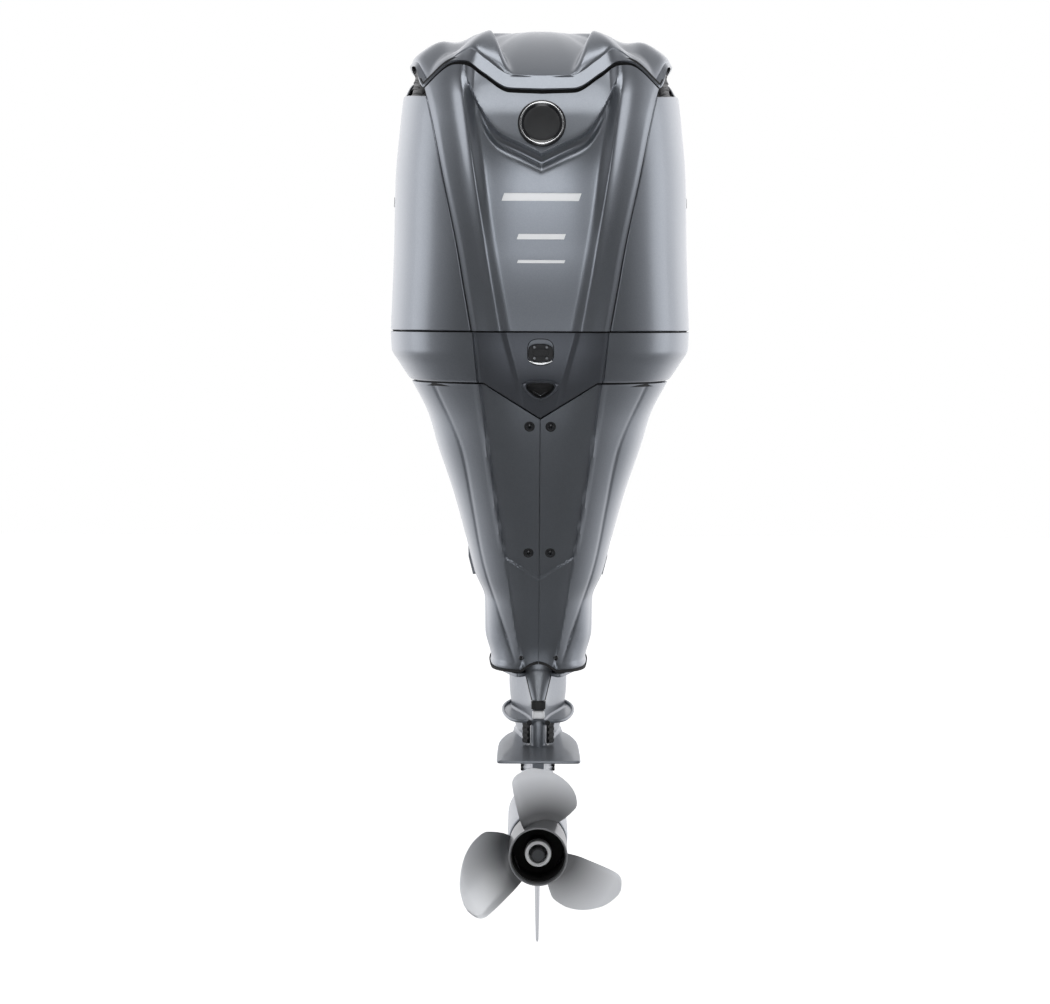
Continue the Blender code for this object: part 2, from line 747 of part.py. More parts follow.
def gearcase():
    top = LOWER_TOP
    strut = lofted("gearcase", [strut_ring(z) for z in (top, -0.56, -0.635, -0.685, -0.81)], painted())
    flange = plate("flange", mirrored([(0, -0.168), (0.055, -0.180), (0.092, -0.220), (0.100, -0.270),
                                       (0.085, -0.360), (0.050, -0.478), (0.034, -0.480), (0, -0.405)]),
                   top - 0.009, top - 0.0015, "Z")
    splash = plate("splash", mirrored([(0, -0.185), (0.050, -0.215), (0.073, -0.300), (0.073, -0.400),
                                       (0.050, -0.485), (0, -0.490)]),
                   SPLASH_PLATE, SPLASH_PLATE + 0.005, "Z")
    vent = plate("vent", mirrored([(0, -0.235), (0.022, -0.250), (0.050, -0.300), (0.077, -0.380),
                                   (0.084, -0.450), (0.084, -0.610), (0.070, -0.655), (0, -0.660)]),
                 VENTILATION_PLATE, VENTILATION_PLATE + 0.006, "Z")
    bullet = turned("bullet", [(0, 0), (0.018, 0.006), (0.036, 0.022), (0.050, 0.045), (0.059, 0.075),
                               (0.0625, 0.110), (0.0625, 0.300), (0.060, 0.393), (0, 0.393)],
                    (0, -0.115, SHAFT_Z), (0, -1, 0), 28)
    skeg_rings = []
    for z, fore, aft, half in ((-0.880, -0.235, -0.470, 0.007), (-0.960, -0.300, -0.468, 0.0055),
                               (-1.030, -0.358, -0.474, 0.004), (SKEG_BOTTOM, -0.400, -0.470, 0.003)):
        skeg_rings.append([(0, fore, z), (half, fore - 0.03, z), (half, aft + 0.03, z), (0, aft, z),
                           (-half, aft + 0.03, z), (-half, fore - 0.03, z)])
    skeg = lofted("skeg", skeg_rings)
    case = join(strut, flange, splash, vent, bullet, skeg)
    bores = [
        turned("shaft_bore", [(0, 0), (0.030, 0), (0.030, 0.024), (0.0525, 0.024),
                              (0.0525, 0.420), (0, 0.420)],
               (0, -0.178, SHAFT_Z), (0, -1, 0), 24),
        turned("drive_bore", [(0, 0), (0.032, 0), (0.032, 0.055), (0.017, 0.055), (0.017, 0.287),
                              (0.045, 0.287), (0.045, 0.36), (0, 0.36)],
               (0, DRIVE_Y, -0.822), (0, 0, 1), 24),
        rod("shift_bore", (0, -0.205, -0.815), (0, -0.205, -0.47), 0.0085, 14),
        box("exhaust_passage", (-0.015, -0.398, -0.81), (0.015, -0.345, -0.46)),
    ]
    for k in range(3):
        low = -0.722 + 0.012 * k
        for near, far in ((-0.08, -0.025), (0.025, 0.08)):
            bores.append(box("inlet_slot", (near, -0.340, low), (far, -0.290, low + 0.006)))
    return cut(case, *bores)


# ---------------------------------------------------------------- transom bracket and trim gear
def clamp_bracket(name, side):
    flange = plate(name, [(0.097, 0.009), (0.199, 0.009), (0.200, -0.085), (0.158, -0.150), (0.155, -0.300),
                          (0.145, -0.340), (0.097, -0.340)], -0.014, 0.0, "Y", painted())
    web = plate("web", [(-0.070, 0.012), (-0.088, -0.060), (-0.078, -0.300), (-0.055, -0.344),
                        (-0.008, -0.344), (-0.008, 0.006), (0.050, 0.006), (0.052, 0.030), (0.030, 0.055),
                        (0.0, 0.045)], 0.0955, 0.110, "X")
    hook = box("hook", (0.099, -0.0125, 0.0), (0.198, 0.055, 0.012))
    boss = rod("boss", (0.0958, TILT_Y, TILT_Z), (0.175, TILT_Y, TILT_Z), 0.030, 24)
    made = join(flange, web, hook, boss)
    made = cut(
        made,
        rod("tube_hole", (0.09, TILT_Y, TILT_Z), (0.18, TILT_Y, TILT_Z), 0.0167, 24),
        rod("bolt_high", (0.1635, -0.03, -0.051), (0.1635, 0.02, -0.051), 0.0065, 16),
        rod("bolt_low", (0.1255, -0.03, -0.254), (0.1255, 0.02, -0.254), 0.0065, 16),
        rod("cross_hole", (0.09, *RAM_LOW), (0.12, *RAM_LOW), 0.0095, 24),
    )
    return reflect(made) if side < 0 else made


def reflect(obj):
    """Mirrors a part, and everything its Booleans use, across the centreline."""
    for each in [obj] + [m.object for m in obj.modifiers]:
        bm = bmesh.new()
        bm.from_mesh(each.data)
        bmesh.ops.transform(bm, matrix=Matrix.Diagonal((-1, 1, 1, 1)), verts=bm.verts)
        bm.normal_update()
        bmesh.ops.recalc_face_normals(bm, faces=bm.faces)
        bm.to_mesh(each.data)
        bm.free()
    return obj


def tilt_tube():
    tube = rod("tilt_tube", (-0.205, TILT_Y, TILT_Z), (0.205, TILT_Y, TILT_Z), 0.0160, 24, steel())
    nuts = [rod("nut", (s * 0.178, TILT_Y, TILT_Z), (s * 0.196, TILT_Y, TILT_Z), 0.022, 6) for s in (-1, 1)]
    bore = rod("tube_bore", (-0.21, TILT_Y, TILT_Z), (0.21, TILT_Y, TILT_Z), 0.0125, 24)
    return cut(join(tube, *nuts), bore)


def lower_cross_pin():
    return rod("lower_cross_pin", (-0.114, *RAM_LOW), (0.114, *RAM_LOW), 0.009, 24, steel())


RAM_LEAN = Vector((0, -0.64, 0.77)).normalized()
RAM_FOOT = Vector((0, -0.035, -0.300))


def along_trim_ram(x, distance):
    return RAM_FOOT + distance * RAM_LEAN + Vector((x, 0, 0))


def trim_unit_housing():
    body = box("trim_unit_housing", (-0.0905, -0.078, -0.345), (0.0905, -0.002, -0.235), painted(), 0.004)
    sides = (-0.062, 0.062)
    bosses = [rod("boss", along_trim_ram(x, 0.010), along_trim_ram(x, 0.096), 0.0195, 24) for x in sides]
    cuts = [rod("ram_bore", along_trim_ram(x, 0.012), along_trim_ram(x, 0.12), 0.0116, 24) for x in sides]
    slot = box("slot", (-0.0335, -0.10, -0.36), (0.0335, -0.0115, -0.22))
    pin = rod("pin_hole", (-0.12, *RAM_LOW), (0.12, *RAM_LOW), 0.0095, 24)
    return cut(join(body, *bosses), slot, pin, *cuts)


def trim_pump_motor():
    x, y = 0.060, -0.029
    profile = [(0, 0), (0.024, 0), (0.024, 0.105), (0.020, 0.112), (0.012, 0.116), (0, 0.116)]
    return turned("trim_pump_motor", profile, (x, y, -0.235 + GAP), (0, 0, 1), 24, black_plastic())


def bracket_anode():
    return box("bracket_anode", (-0.080, -0.062, -0.3575), (0.080, -0.014, -0.345 - GAP), zinc(), 0.002)


LOW_PIN = Vector((0, *RAM_LOW))
HIGH_PIN = Vector((0, *RAM_HIGH))
RAM_LINE = (HIGH_PIN - LOW_PIN).normalized()
RAM_LENGTH = (HIGH_PIN - LOW_PIN).length


def along_tilt_ram(distance):
    return LOW_PIN + distance * RAM_LINE


def tilt_cylinder():
    barrel = rod("tilt_cylinder", along_tilt_ram(0.020), along_tilt_ram(0.215), 0.0255, 28, painted())
    eye = rod("eye", (-0.0325, *RAM_LOW), (0.0325, *RAM_LOW), 0.0165, 24)
    neck = rod("neck", along_tilt_ram(0.008), along_tilt_ram(0.024), 0.014, 16)
    made = join(barrel, eye, neck)
    return cut(
        made,
        rod("pin_hole", (-0.04, *RAM_LOW), (0.04, *RAM_LOW), 0.0095, 24),
        rod("bore", along_tilt_ram(0.028), along_tilt_ram(0.206), 0.0215, 24),
        rod("gland", along_tilt_ram(0.200), along_tilt_ram(0.225), 0.0105, 24),
    )


def tilt_ram_rod():
    shaft = rod("tilt_ram_rod", along_tilt_ram(0.034), along_tilt_ram(RAM_LENGTH - 0.012), 0.0100, 20)
    piston = rod("piston", along_tilt_ram(0.033), along_tilt_ram(0.050), 0.0208, 24)
    eye = rod("eye", (-0.016, *RAM_HIGH), (0.016, *RAM_HIGH), 0.0155, 24)
    return cut(join(shaft, piston, eye), rod("pin_hole", (-0.04, *RAM_HIGH), (0.04, *RAM_HIGH), 0.0085, 24))


def ram_upper_pin():
    return rod("ram_upper_pin", (-0.056, *RAM_HIGH), (0.056, *RAM_HIGH), 0.0080, 24)


def trim_ram(name, x):
    return rod(name, along_trim_ram(x, 0.016), along_trim_ram(x, 0.116), 0.0110, 24)


def swivel_bracket():
    tube = rod("swivel_bracket", (0, STEER_Y, -0.415), (0, STEER_Y, 0.066), 0.036, 24, painted())
    web = box("web", (-0.083, -0.125, -0.188), (0.083, -0.093, 0.040))
    parts = [web]
    for side in (-1, 1):
        low, high = sorted((side * 0.062, side * 0.083))
        parts.append(plate("arm", [(-0.124, 0.055), (-0.124, -0.160), (-0.100, -0.187), (-0.092, -0.187),
                                   (-0.088, -0.080), (0.012, 0.012), (0.048, 0.012), (0.048, 0.052),
                                   (0.010, 0.058)], low, high, "X"))
        parts.append(rod("boss", (side * 0.055, TILT_Y, TILT_Z), (side * 0.0935, TILT_Y, TILT_Z), 0.0285, 24))
        low, high = sorted((side * 0.045, side * 0.079))
        parts.append(box("pad", (low, -0.140, -0.197), (high, -0.112, -0.165)))
    made = join(tube, *parts)
    return cut(
        made,
        rod("tube_hole", (-0.12, TILT_Y, TILT_Z), (0.12, TILT_Y, TILT_Z), 0.0167, 24),
        rod("steer_hole", (0, STEER_Y, -0.45), (0, STEER_Y, 0.10), 0.0192, 24),
    )


def tilt_support_lever():
    low = plate("tilt_support_lever", [(-0.067, -0.010), (-0.083, -0.010), (-0.090, -0.022), (-0.100, -0.118),
                                       (-0.094, -0.128), (-0.084, -0.124),
                                       (-0.066, -0.028), (-0.062, -0.018)],
                -0.0925, -0.0865, "X", steel())
    return cut(low, rod("lever_hole", (-0.10, -0.076, -0.020), (-0.08, -0.076, -0.020), 0.0045, 16))


def steering_arm():
    shaft = rod("steering_arm", (0, STEER_Y, -0.458), (0, STEER_Y, 0.086), 0.0185, 24, steel())
    arm = plate("arm", mirrored([(0, 0.132), (0.014, 0.128), (0.022, 0.114), (0.022, 0.060), (0.046, -0.090),
                                 (0.075, -0.150), (0.075, -0.1896), (0, -0.1896)]), 0.0740, 0.0980, "Z")
    return cut(join(shaft, arm), rod("link_hole", (0, 0.110, 0.05), (0, 0.110, 0.12), 0.0055, 16))


def lower_yoke():
    made = box("lower_yoke", (-0.085, -0.1650, -0.453), (0.085, -0.105, -0.422), steel(), 0.004)
    return cut(made, rod("yoke_hole", (0, STEER_Y, -0.47), (0, STEER_Y, -0.40), 0.0190, 24))


def mount_rubber(name, x):
    return rod(name, (x, -0.1654, -0.4375), (x, -0.1896, -0.4375), 0.0155, 24, rubber())


# ---------------------------------------------------------------- powerhead
BANK_ANGLE = math.radians(30)


def bank_matrix(side):
    """Places a shape whose +Y runs out along one cylinder bank from the crankshaft axis."""
    turn = math.pi + side * BANK_ANGLE
    return Matrix.Translation((0, DRIVE_Y, 0)) @ Matrix.Rotation(turn, 4, "Z")


def in_bank(obj, side):
    obj.data.transform(bank_matrix(side))
    return obj


CYLINDER_Z = (0.205, 0.335, 0.465)
CYLINDER_STAGGER = 0.022


def cylinder_block():
    crankcase = box("cylinder_block", (-0.105, -0.365, 0.119), (0.105, -0.185, 0.600), alloy(), 0.008)
    banks = [in_bank(box("bank", (-0.058, 0.060, 0.130), (0.058, 0.290, 0.575)), side) for side in (-1, 1)]
    bores = []
    for side in (-1, 1):
        for z in CYLINDER_Z:
            level = z + side * CYLINDER_STAGGER / 2
            bores.append(in_bank(rod("cylinder", (0, 0.045, level), (0, 0.31, level), 0.045, 12), side))
    crank_room = rod("crank_room", (0, DRIVE_Y, 0.135), (0, DRIVE_Y, 0.585), 0.0600, 20)
    main_bores = rod("main_bores", (0, DRIVE_Y, 0.10), (0, DRIVE_Y, 0.62), 0.0272, 16)
    return cut(join(crankcase, *banks), crank_room, main_bores, *bores)


def cylinder_head(name, side):
    head = in_bank(box(name, (-0.062, 0.290 + GAP, 0.125), (0.062, 0.352, 0.600), alloy(), 0.010), side)
    return head


def intake_manifold():
    body = box("intake_manifold", (-0.050, -0.635, 0.180), (0.050, -0.520, 0.560), black_plastic(), 0.012)
    return body


def exhaust_guide_plate():
    made = box("exhaust_guide_plate", (-0.118, -0.478, 0.100 + GAP), (0.118, -0.186, 0.119 - GAP), alloy())
    return cut(
        made,
        box("exhaust_way", (-0.050, -0.440, 0.09), (0.050, -0.320, 0.13)),
        rod("drive_way", (0, DRIVE_Y, 0.09), (0, DRIVE_Y, 0.13), 0.018, 24),
    )


def starter_motor():
    profile = [(0, 0), (0.034, 0), (0.034, 0.150), (0.026, 0.160), (0.014, 0.164), (0.014, 0.200), (0, 0.200)]
    return turned("starter_motor", profile, (-0.140, -0.128, 0.430), (0, 0, 1), 24, black_plastic())


def oil_filter():
    profile = [(0, 0), (0.034, 0), (0.034, 0.068), (0.028, 0.075), (0, 0.075)]
    return turned("oil_filter", profile, (0.105 + GAP, -0.235, 0.270), (1, 0, 0), 24, black_plastic())


def engine_control_unit():
    return box("engine_control_unit", (-0.140, -0.262, 0.200), (-0.105 - GAP, -0.196, 0.360),
               black_plastic(), 0.004)


def crankshaft():
    """Three throws a third of a turn apart between four main journals."""
    shaft = [rod("crankshaft", (0, DRIVE_Y, 0.138), (0, DRIVE_Y, 0.190), 0.0255, 14)]
    pitch, reach = 0.130, 0.030
    for k in range(3):
        low = 0.150 + pitch * k
        angle = 2 * math.pi * k / 3
        centre = Vector((reach * math.cos(angle), DRIVE_Y + reach * math.sin(angle), 0))
        half = Vector((centre.x * 0.3, DRIVE_Y + (centre.y - DRIVE_Y) * 0.3, 0))
        up = Vector((0, 0, 1))
        shaft.append(rod("web", half + up * (low + 0.028), half + up * (low + 0.040), 0.046, 14))
        shaft.append(rod("throw", centre + up * (low + 0.035), centre + up * (low + 0.080), 0.020, 10))
        shaft.append(rod("web", half + up * (low + 0.075), half + up * (low + 0.087), 0.046, 14))
        upper = low + (0.163 if k < 2 else 0.563)
        top = min(upper, 0.650)
        shaft.append(rod("journal", Vector((0, DRIVE_Y, low + 0.084)), Vector((0, DRIVE_Y, top)), 0.0255, 14))
    return join(*shaft)


def flywheel():
    profile = [(0.012, 0), (0.040, 0), (0.040, 0.006), (0.150, 0.006), (0.160, 0.010), (0.160, 0.040),
               (0.148, 0.044), (0.142, 0.020), (0.045, 0.020), (0.045, 0.034), (0.012, 0.034)]
    return turned("flywheel", profile, (0, DRIVE_Y, 0.650 + GAP), (0, 0, 1), 24, steel())


# ---------------------------------------------------------------- drive train
def driveshaft():
    profile = [(0, 0), (0.0110, 0), (0.0110, 0.925), (0, 0.925)]
    return turned("driveshaft", profile, (0, DRIVE_Y, -0.789), (0, 0, 1), 24, steel())


def bevel_gear(name, teeth, pitch_r, mate_r, bore, phase, turn):
    """A straight bevel gear whose cone's apex is the shaft crossing. Its own axis is +Z before turn.

    The teeth are cut thin, so that a pair can turn with play between them.
    """
    module = 2 * pitch_r / teeth
    face = 0.016 / math.hypot(pitch_r, mate_r)

    def ring(scale, offsets, radius_of):
        points = []
        for k in range(teeth):
            for part, tip in offsets:
                a = phase + 2 * math.pi * (k + part) / teeth
                r, h = radius_of(tip, scale)
                points.append((r * math.cos(a), r * math.sin(a), h))
        return points

    def tooth(tip, scale):
        grow = 0.62 * module if tip else -1.0 * module
        length = math.hypot(pitch_r, mate_r)
        outward_r, outward_h = mate_r / length, -pitch_r / length
        return scale * (pitch_r + grow * outward_r), scale * (mate_r + grow * outward_h)

    def back(tip, scale):
        return scale * (pitch_r - 0.001), mate_r + 0.005

    def plain(radius, height):
        return lambda tip, scale: (radius, height)

    spots = [(-0.25, False), (-0.11, True), (0.11, True), (0.25, False)]
    inner_h = mate_r * (1 - face) - 0.0012
    rows = [
        ring(1.0, spots, back),
        ring(1.0, spots, tooth),
        ring(1 - face, spots, tooth),
        ring(1, spots, plain(bore, inner_h)),
        ring(1, spots, plain(bore, mate_r + 0.005)),
    ]
    made = shell_loop(name, rows + [rows[0]], steel())
    made.data.transform(turn)
    return made


def towards(axis):
    """Turns +Z to +Z, +Y or -Y and carries the cone's apex to the shaft crossing."""
    quarter = math.pi / 2 * -axis[1]
    return Matrix.Translation((0, DRIVE_Y, SHAFT_Z)) @ Matrix.Rotation(quarter, 4, "X")


def pinion_gear():
    return bevel_gear("pinion_gear", PINION_TEETH, PINION_PITCH_R, GEAR_PITCH_R, 0.0114,
                      math.pi / 2, towards((0, 0, 1)))


DOG_DEPTH = 0.0045
DOG_ARC = math.radians(50)


def dog_lobes(name, inner, outer, y_from, y_to, first):
    """Three claws round the shaft line."""
    lobes = []
    for k in range(3):
        rows = []
        for y in (y_from, y_to):
            ring = []
            for r, sweep in ((inner, range(3)), (outer, range(2, -1, -1))):
                for step in sweep:
                    a = first + k * 2 * math.pi / 3 + DOG_ARC * step / 2
                    ring.append((r * math.cos(a), y, SHAFT_Z + r * math.sin(a)))
            rows.append(ring)
        lobes.append(lofted(f"{name}_{k}", rows))
    return lobes


def gear_face():
    """Distance from the shaft crossing to the clutch side of each large gear."""
    return PINION_PITCH_R * (1 - 0.016 / math.hypot(GEAR_PITCH_R, PINION_PITCH_R)) - 0.0012


def forward_gear():
    gear = bevel_gear("forward_gear", GEAR_TEETH, GEAR_PITCH_R, PINION_PITCH_R, 0.0158,
                      -math.pi / 2 + math.pi / GEAR_TEETH, towards((0, 1, 0)))
    face_y = DRIVE_Y + gear_face()
    return join(gear, *dog_lobes("claw", 0.0165, 0.0222, face_y + 0.003, face_y - DOG_DEPTH, math.radians(60)))


def reverse_gear():
    gear = bevel_gear("reverse_gear", GEAR_TEETH, GEAR_PITCH_R, PINION_PITCH_R, 0.0158,
                      math.pi / 2 + math.pi / GEAR_TEETH, towards((0, -1, 0)))
    face_y = DRIVE_Y - gear_face()
    return join(gear, *dog_lobes("claw", 0.0165, 0.0222, face_y - 0.003, face_y + DOG_DEPTH, math.radians(60)))


def dog_clutch():
    """Slides on the propeller shaft; drawn engaged with the forward gear."""
    face_y = DRIVE_Y + gear_face()
    body_fore = face_y - DOG_DEPTH - GAP
    body_aft = body_fore - 0.012
    body = rod("dog_clutch", (0, body_aft, SHAFT_Z), (0, body_fore, SHAFT_Z), 0.0224, 24)
    lobes = dog_lobes("claw", 0.0165, 0.0222, body_fore - 0.003, face_y - GAP, math.radians(120))
    lobes += dog_lobes("claw", 0.0165, 0.0222, body_aft + 0.003, body_aft - DOG_DEPTH, math.radians(120))
    hole = rod("clutch_bore", (0, body_aft - 0.01, SHAFT_Z), (0, body_fore + 0.01, SHAFT_Z), 0.0156, 28)
    return cut(join(body, *lobes), hole)


def propeller_shaft():
    profile = [(0, 0), (0.0150, 0), (0.0150, 0.385), (0.0135, 0.387), (0.0135, 0.428), (0, 0.428)]
    return turned("propeller_shaft", profile, (0, -0.216, SHAFT_Z), (0, -1, 0), 28, steel())


def bearing_carrier():
    """Plugs the torpedo's open end, with exhaust ways round a central bearing tube."""
    profile = [(0.0158, 0), (0.022, 0), (0.022, 0.105), (0.0515, 0.115), (0.0515, 0.170), (0.046, 0.170),
               (0.046, 0.180), (0.0158, 0.180)]
    made = turned("bearing_carrier", profile, (0, -0.3150, SHAFT_Z), (0, -1, 0), 24, alloy())
    ways = []
    for k in range(4):
        a = math.radians(45 + 90 * k)
        at = Vector((0.034 * math.cos(a), 0, 0.034 * math.sin(a)))
        front, back = Vector((0, -0.42, SHAFT_Z)) + at, Vector((0, -0.51, SHAFT_Z)) + at
        ways.append(rod("way", front, back, 0.0085, 12))
    return cut(made, *ways)


def shift_rod():
    stem = rod("shift_rod", (0, -0.205, -0.842), (0, -0.205, 0.098), 0.0050, 16, steel())
    return join(stem, box("arm", (-0.004, -0.209, 0.080), (0.045, -0.201, 0.089)))


def water_pump_housing():
    profile = [(0.0345, 0), (0.0435, 0), (0.0435, 0.030), (0.0125, 0.030), (0.0125, 0.024), (0.0345, 0.024)]
    return turned("water_pump_housing", profile, (0, DRIVE_Y, -0.5340), (0, 0, 1), 24, black_plastic())


def water_pump_impeller():
    hub = turned("water_pump_impeller", [(0.0115, 0), (0.0185, 0), (0.0185, 0.019), (0.0115, 0.019)],
                 (0, DRIVE_Y, -0.5315), (0, 0, 1), 24, rubber())
    vanes = []
    for k in range(6):
        vane = box("vane", (0.016, -0.0016, -0.5315), (0.0330, 0.0016, -0.5130))
        vane.data.transform(Matrix.Translation((0, DRIVE_Y, 0)) @ Matrix.Rotation(math.pi * k / 3, 4, "Z"))
        vanes.append(vane)
    return join(hub, *vanes)


# blade outline: radius fraction, trailing and leading angle about the shaft, degrees from +X
BLADE = [
    (0.311, 120, 49), (0.42, 117, 47), (0.60, 113, 49), (0.72, 111, 56),
    (0.82, 109.5, 65), (0.90, 106, 73), (0.96, 101, 80.5), (1.0, 95, 89),
]
PROP_Y = -0.570                 # blade root's mid plane
RAKE = math.tan(math.radians(12))


def blade(k):
    """One right-handed blade, thick in the middle and at the root."""
    turn = k * 2 * math.pi / BLADES
    columns = 4
    rows = []
    for fraction, trail, lead in BLADE:
        r = PROP_R * fraction
        middle = 90
        thick = 0.0100 - 0.0072 * fraction
        front, rear = [], []
        for j in range(columns + 1):
            u = j / columns
            degrees = trail + (lead - trail) * u
            a = math.radians(degrees) + turn
            drop = (degrees - middle) / 360 * PROP_PITCH
            y = PROP_Y - RAKE * (r - HUB_R) - drop
            body = thick * (0.18 + 0.82 * (4 * u * (1 - u)) ** 0.6) / 2
            place = (r * math.cos(a), SHAFT_Z + r * math.sin(a))
            front.append((place[0], y + body, place[1]))
            rear.append((place[0], y - body, place[1]))
        rows.append(front + rear[::-1])
    return lofted(f"blade_{k}", rows, steel())


def propeller():
    barrel = turned("propeller", [(0.0535, 0.0), (0.0570, 0.0), (0.0590, 0.030), (HUB_R + 0.001, 0.085),
                                  (HUB_R, 0.132), (0.0590, 0.143), (0.0540, 0.143)],
                    (0, -0.5125, SHAFT_Z), (0, -1, 0), 30, steel())
    core = turned("core", [(0.0156, 0), (0.0265, 0), (0.0265, 0.085), (0.0156, 0.085)],
                  (0, -0.5150, SHAFT_Z), (0, -1, 0), 20)
    ribs = []
    for k in range(3):
        rib = box("rib", (0.024, -0.596, -0.0025), (0.0556, -0.520, 0.0025))
        turn = Matrix.Rotation(math.radians(-30 - 120 * k), 4, "Y")
        rib.data.transform(Matrix.Translation((0, 0, SHAFT_Z)) @ turn)
        ribs.append(rib)
    return join(barrel, core, *ribs, *[blade(k) for k in range(BLADES)])


def propeller_nut():
    made = rod("propeller_nut", (0, -0.6035, SHAFT_Z), (0, -0.623, SHAFT_Z), 0.0180, 6, steel())
    return cut(made, rod("thread", (0, -0.59, SHAFT_Z), (0, -0.63, SHAFT_Z), 0.0140, 28))


# ---------------------------------------------------------------- assembly
def build():
    clear_scene()
    for side, suffix in ((-1, "port"), (1, "starboard")):
        clamp_bracket(f"clamp_bracket_{suffix}", side)
        trim_ram(f"trim_ram_{suffix}", side * 0.062)
        mount_rubber(f"mount_rubber_lower_{suffix}", side * 0.062)
        apron_half(f"apron_{suffix}", side)
        air_intake_grille(f"air_intake_grille_{suffix}", side)
        cylinder_head(f"cylinder_head_{suffix}", side)
    for made in (
        tilt_tube, lower_cross_pin, trim_unit_housing, trim_pump_motor, bracket_anode, tilt_cylinder,
        tilt_ram_rod, ram_upper_pin, swivel_bracket, tilt_support_lever, steering_arm, lower_yoke,
        midsection_housing, bottom_cowl, rear_shield, rear_latch_lever, exhaust_outlet_bezel, tilt_switch,
        cowl_seal, cowl_shell, cowl_rear_panel, cowl_top_cap, badge_disc, cylinder_block, intake_manifold,
        exhaust_guide_plate, starter_motor, oil_filter, engine_control_unit, crankshaft, flywheel,
        driveshaft, pinion_gear, water_pump_impeller, water_pump_housing, gearcase, bearing_carrier,
        forward_gear, reverse_gear, propeller_shaft, dog_clutch, shift_rod, propeller, propeller_nut,
    ):
        made()
    apron_screw(1, -0.021, 0.006)
    apron_screw(2, 0.021, 0.006)
    apron_screw(3, -0.022, -0.252)
    apron_screw(4, 0.022, -0.252)


build()
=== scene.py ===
import math

import bmesh
import bpy
import numpy as np
from mathutils import Matrix, Vector


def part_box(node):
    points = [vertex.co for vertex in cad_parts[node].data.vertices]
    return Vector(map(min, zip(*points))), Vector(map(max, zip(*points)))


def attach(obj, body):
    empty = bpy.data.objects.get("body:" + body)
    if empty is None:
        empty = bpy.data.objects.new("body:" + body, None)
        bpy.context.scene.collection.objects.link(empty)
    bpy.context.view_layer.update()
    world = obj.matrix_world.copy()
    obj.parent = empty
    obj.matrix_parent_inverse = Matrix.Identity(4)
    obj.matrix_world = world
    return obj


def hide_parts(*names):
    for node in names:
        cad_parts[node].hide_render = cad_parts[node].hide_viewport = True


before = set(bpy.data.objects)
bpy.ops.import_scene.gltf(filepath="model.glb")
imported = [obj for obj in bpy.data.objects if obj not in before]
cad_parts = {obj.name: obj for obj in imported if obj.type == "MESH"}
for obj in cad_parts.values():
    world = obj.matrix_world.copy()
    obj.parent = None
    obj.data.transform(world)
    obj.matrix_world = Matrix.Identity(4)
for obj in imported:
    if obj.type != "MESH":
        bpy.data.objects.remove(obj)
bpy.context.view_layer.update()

# Looks of a large V6 outboard motor. Metres, +Z up, +Y forward (towards the boat), +X starboard.
# The origin is on the centreline, at the top of the boat's transom.

# ---------------------------------------------------------------- dimensions shared with the CAD
CROWN = 0.823                   # highest point of the cowl
COWL_SEAM = 0.204               # where the top cowl meets the bottom cowl
SHIELD_TIP = 0.035
APRON_TOP, APRON_BOTTOM = 0.1015, -0.49
LOWER_TOP = -0.4955
SPLASH_PLATE = -0.596
VENTILATION_PLATE = -0.65
SHAFT_Z = -0.838
SKEG_BOTTOM = -1.061
TILT_Y, TILT_Z = 0.03, 0.035
WIDEST_Y = -0.25
PROP_R = 0.1785
PROP_PITCH = 0.483
PROP_Y = -0.583
HUB_R = 0.0575
RAKE = math.tan(math.radians(27))

FLOOR_Z = -1.075

# camera: behind the motor, a little above the top of the transom
CAMERA_AT = (-0.0293, -5.5, 0.243)
CAMERA_LENS = 84.55
CAMERA_PITCH = -4.39
CAMERA_ROLL = 0.25


# ---------------------------------------------------------------- curves and sections
def curve(*points):
    """A smooth function through (x, y) points, with no overshoot between them."""
    xs = np.array([p[0] for p in points], float)
    ys = np.array([p[1] for p in points], float)
    if xs[0] > xs[-1]:
        xs, ys = xs[::-1], ys[::-1]
    steps = np.diff(xs)
    slopes = np.diff(ys) / steps
    tangents = np.zeros(len(xs))
    tangents[0], tangents[-1] = slopes[0], slopes[-1]
    for k in range(1, len(xs) - 1):
        if slopes[k - 1] * slopes[k] > 0:
            weight_a = 2 * steps[k] + steps[k - 1]
            weight_b = steps[k] + 2 * steps[k - 1]
            tangents[k] = (weight_a + weight_b) / (weight_a / slopes[k - 1] + weight_b / slopes[k])

    def value(x):
        x = np.clip(x, xs[0], xs[-1])
        k = np.clip(np.searchsorted(xs, x) - 1, 0, len(xs) - 2)
        t = (x - xs[k]) / steps[k]
        return (
            ys[k] * (1 + 2 * t) * (1 - t) ** 2
            + steps[k] * tangents[k] * t * (1 - t) ** 2
            + ys[k + 1] * t * t * (3 - 2 * t)
            + steps[k] * tangents[k + 1] * t * t * (t - 1)
        )

    return value


def smooth(t):
    t = np.clip(t, 0.0, 1.0)
    return t * t * (3 - 2 * t)


def bump_at(distance, width):
    """A bell of height 1, about that wide."""
    return np.exp(-((distance / width) ** 2))


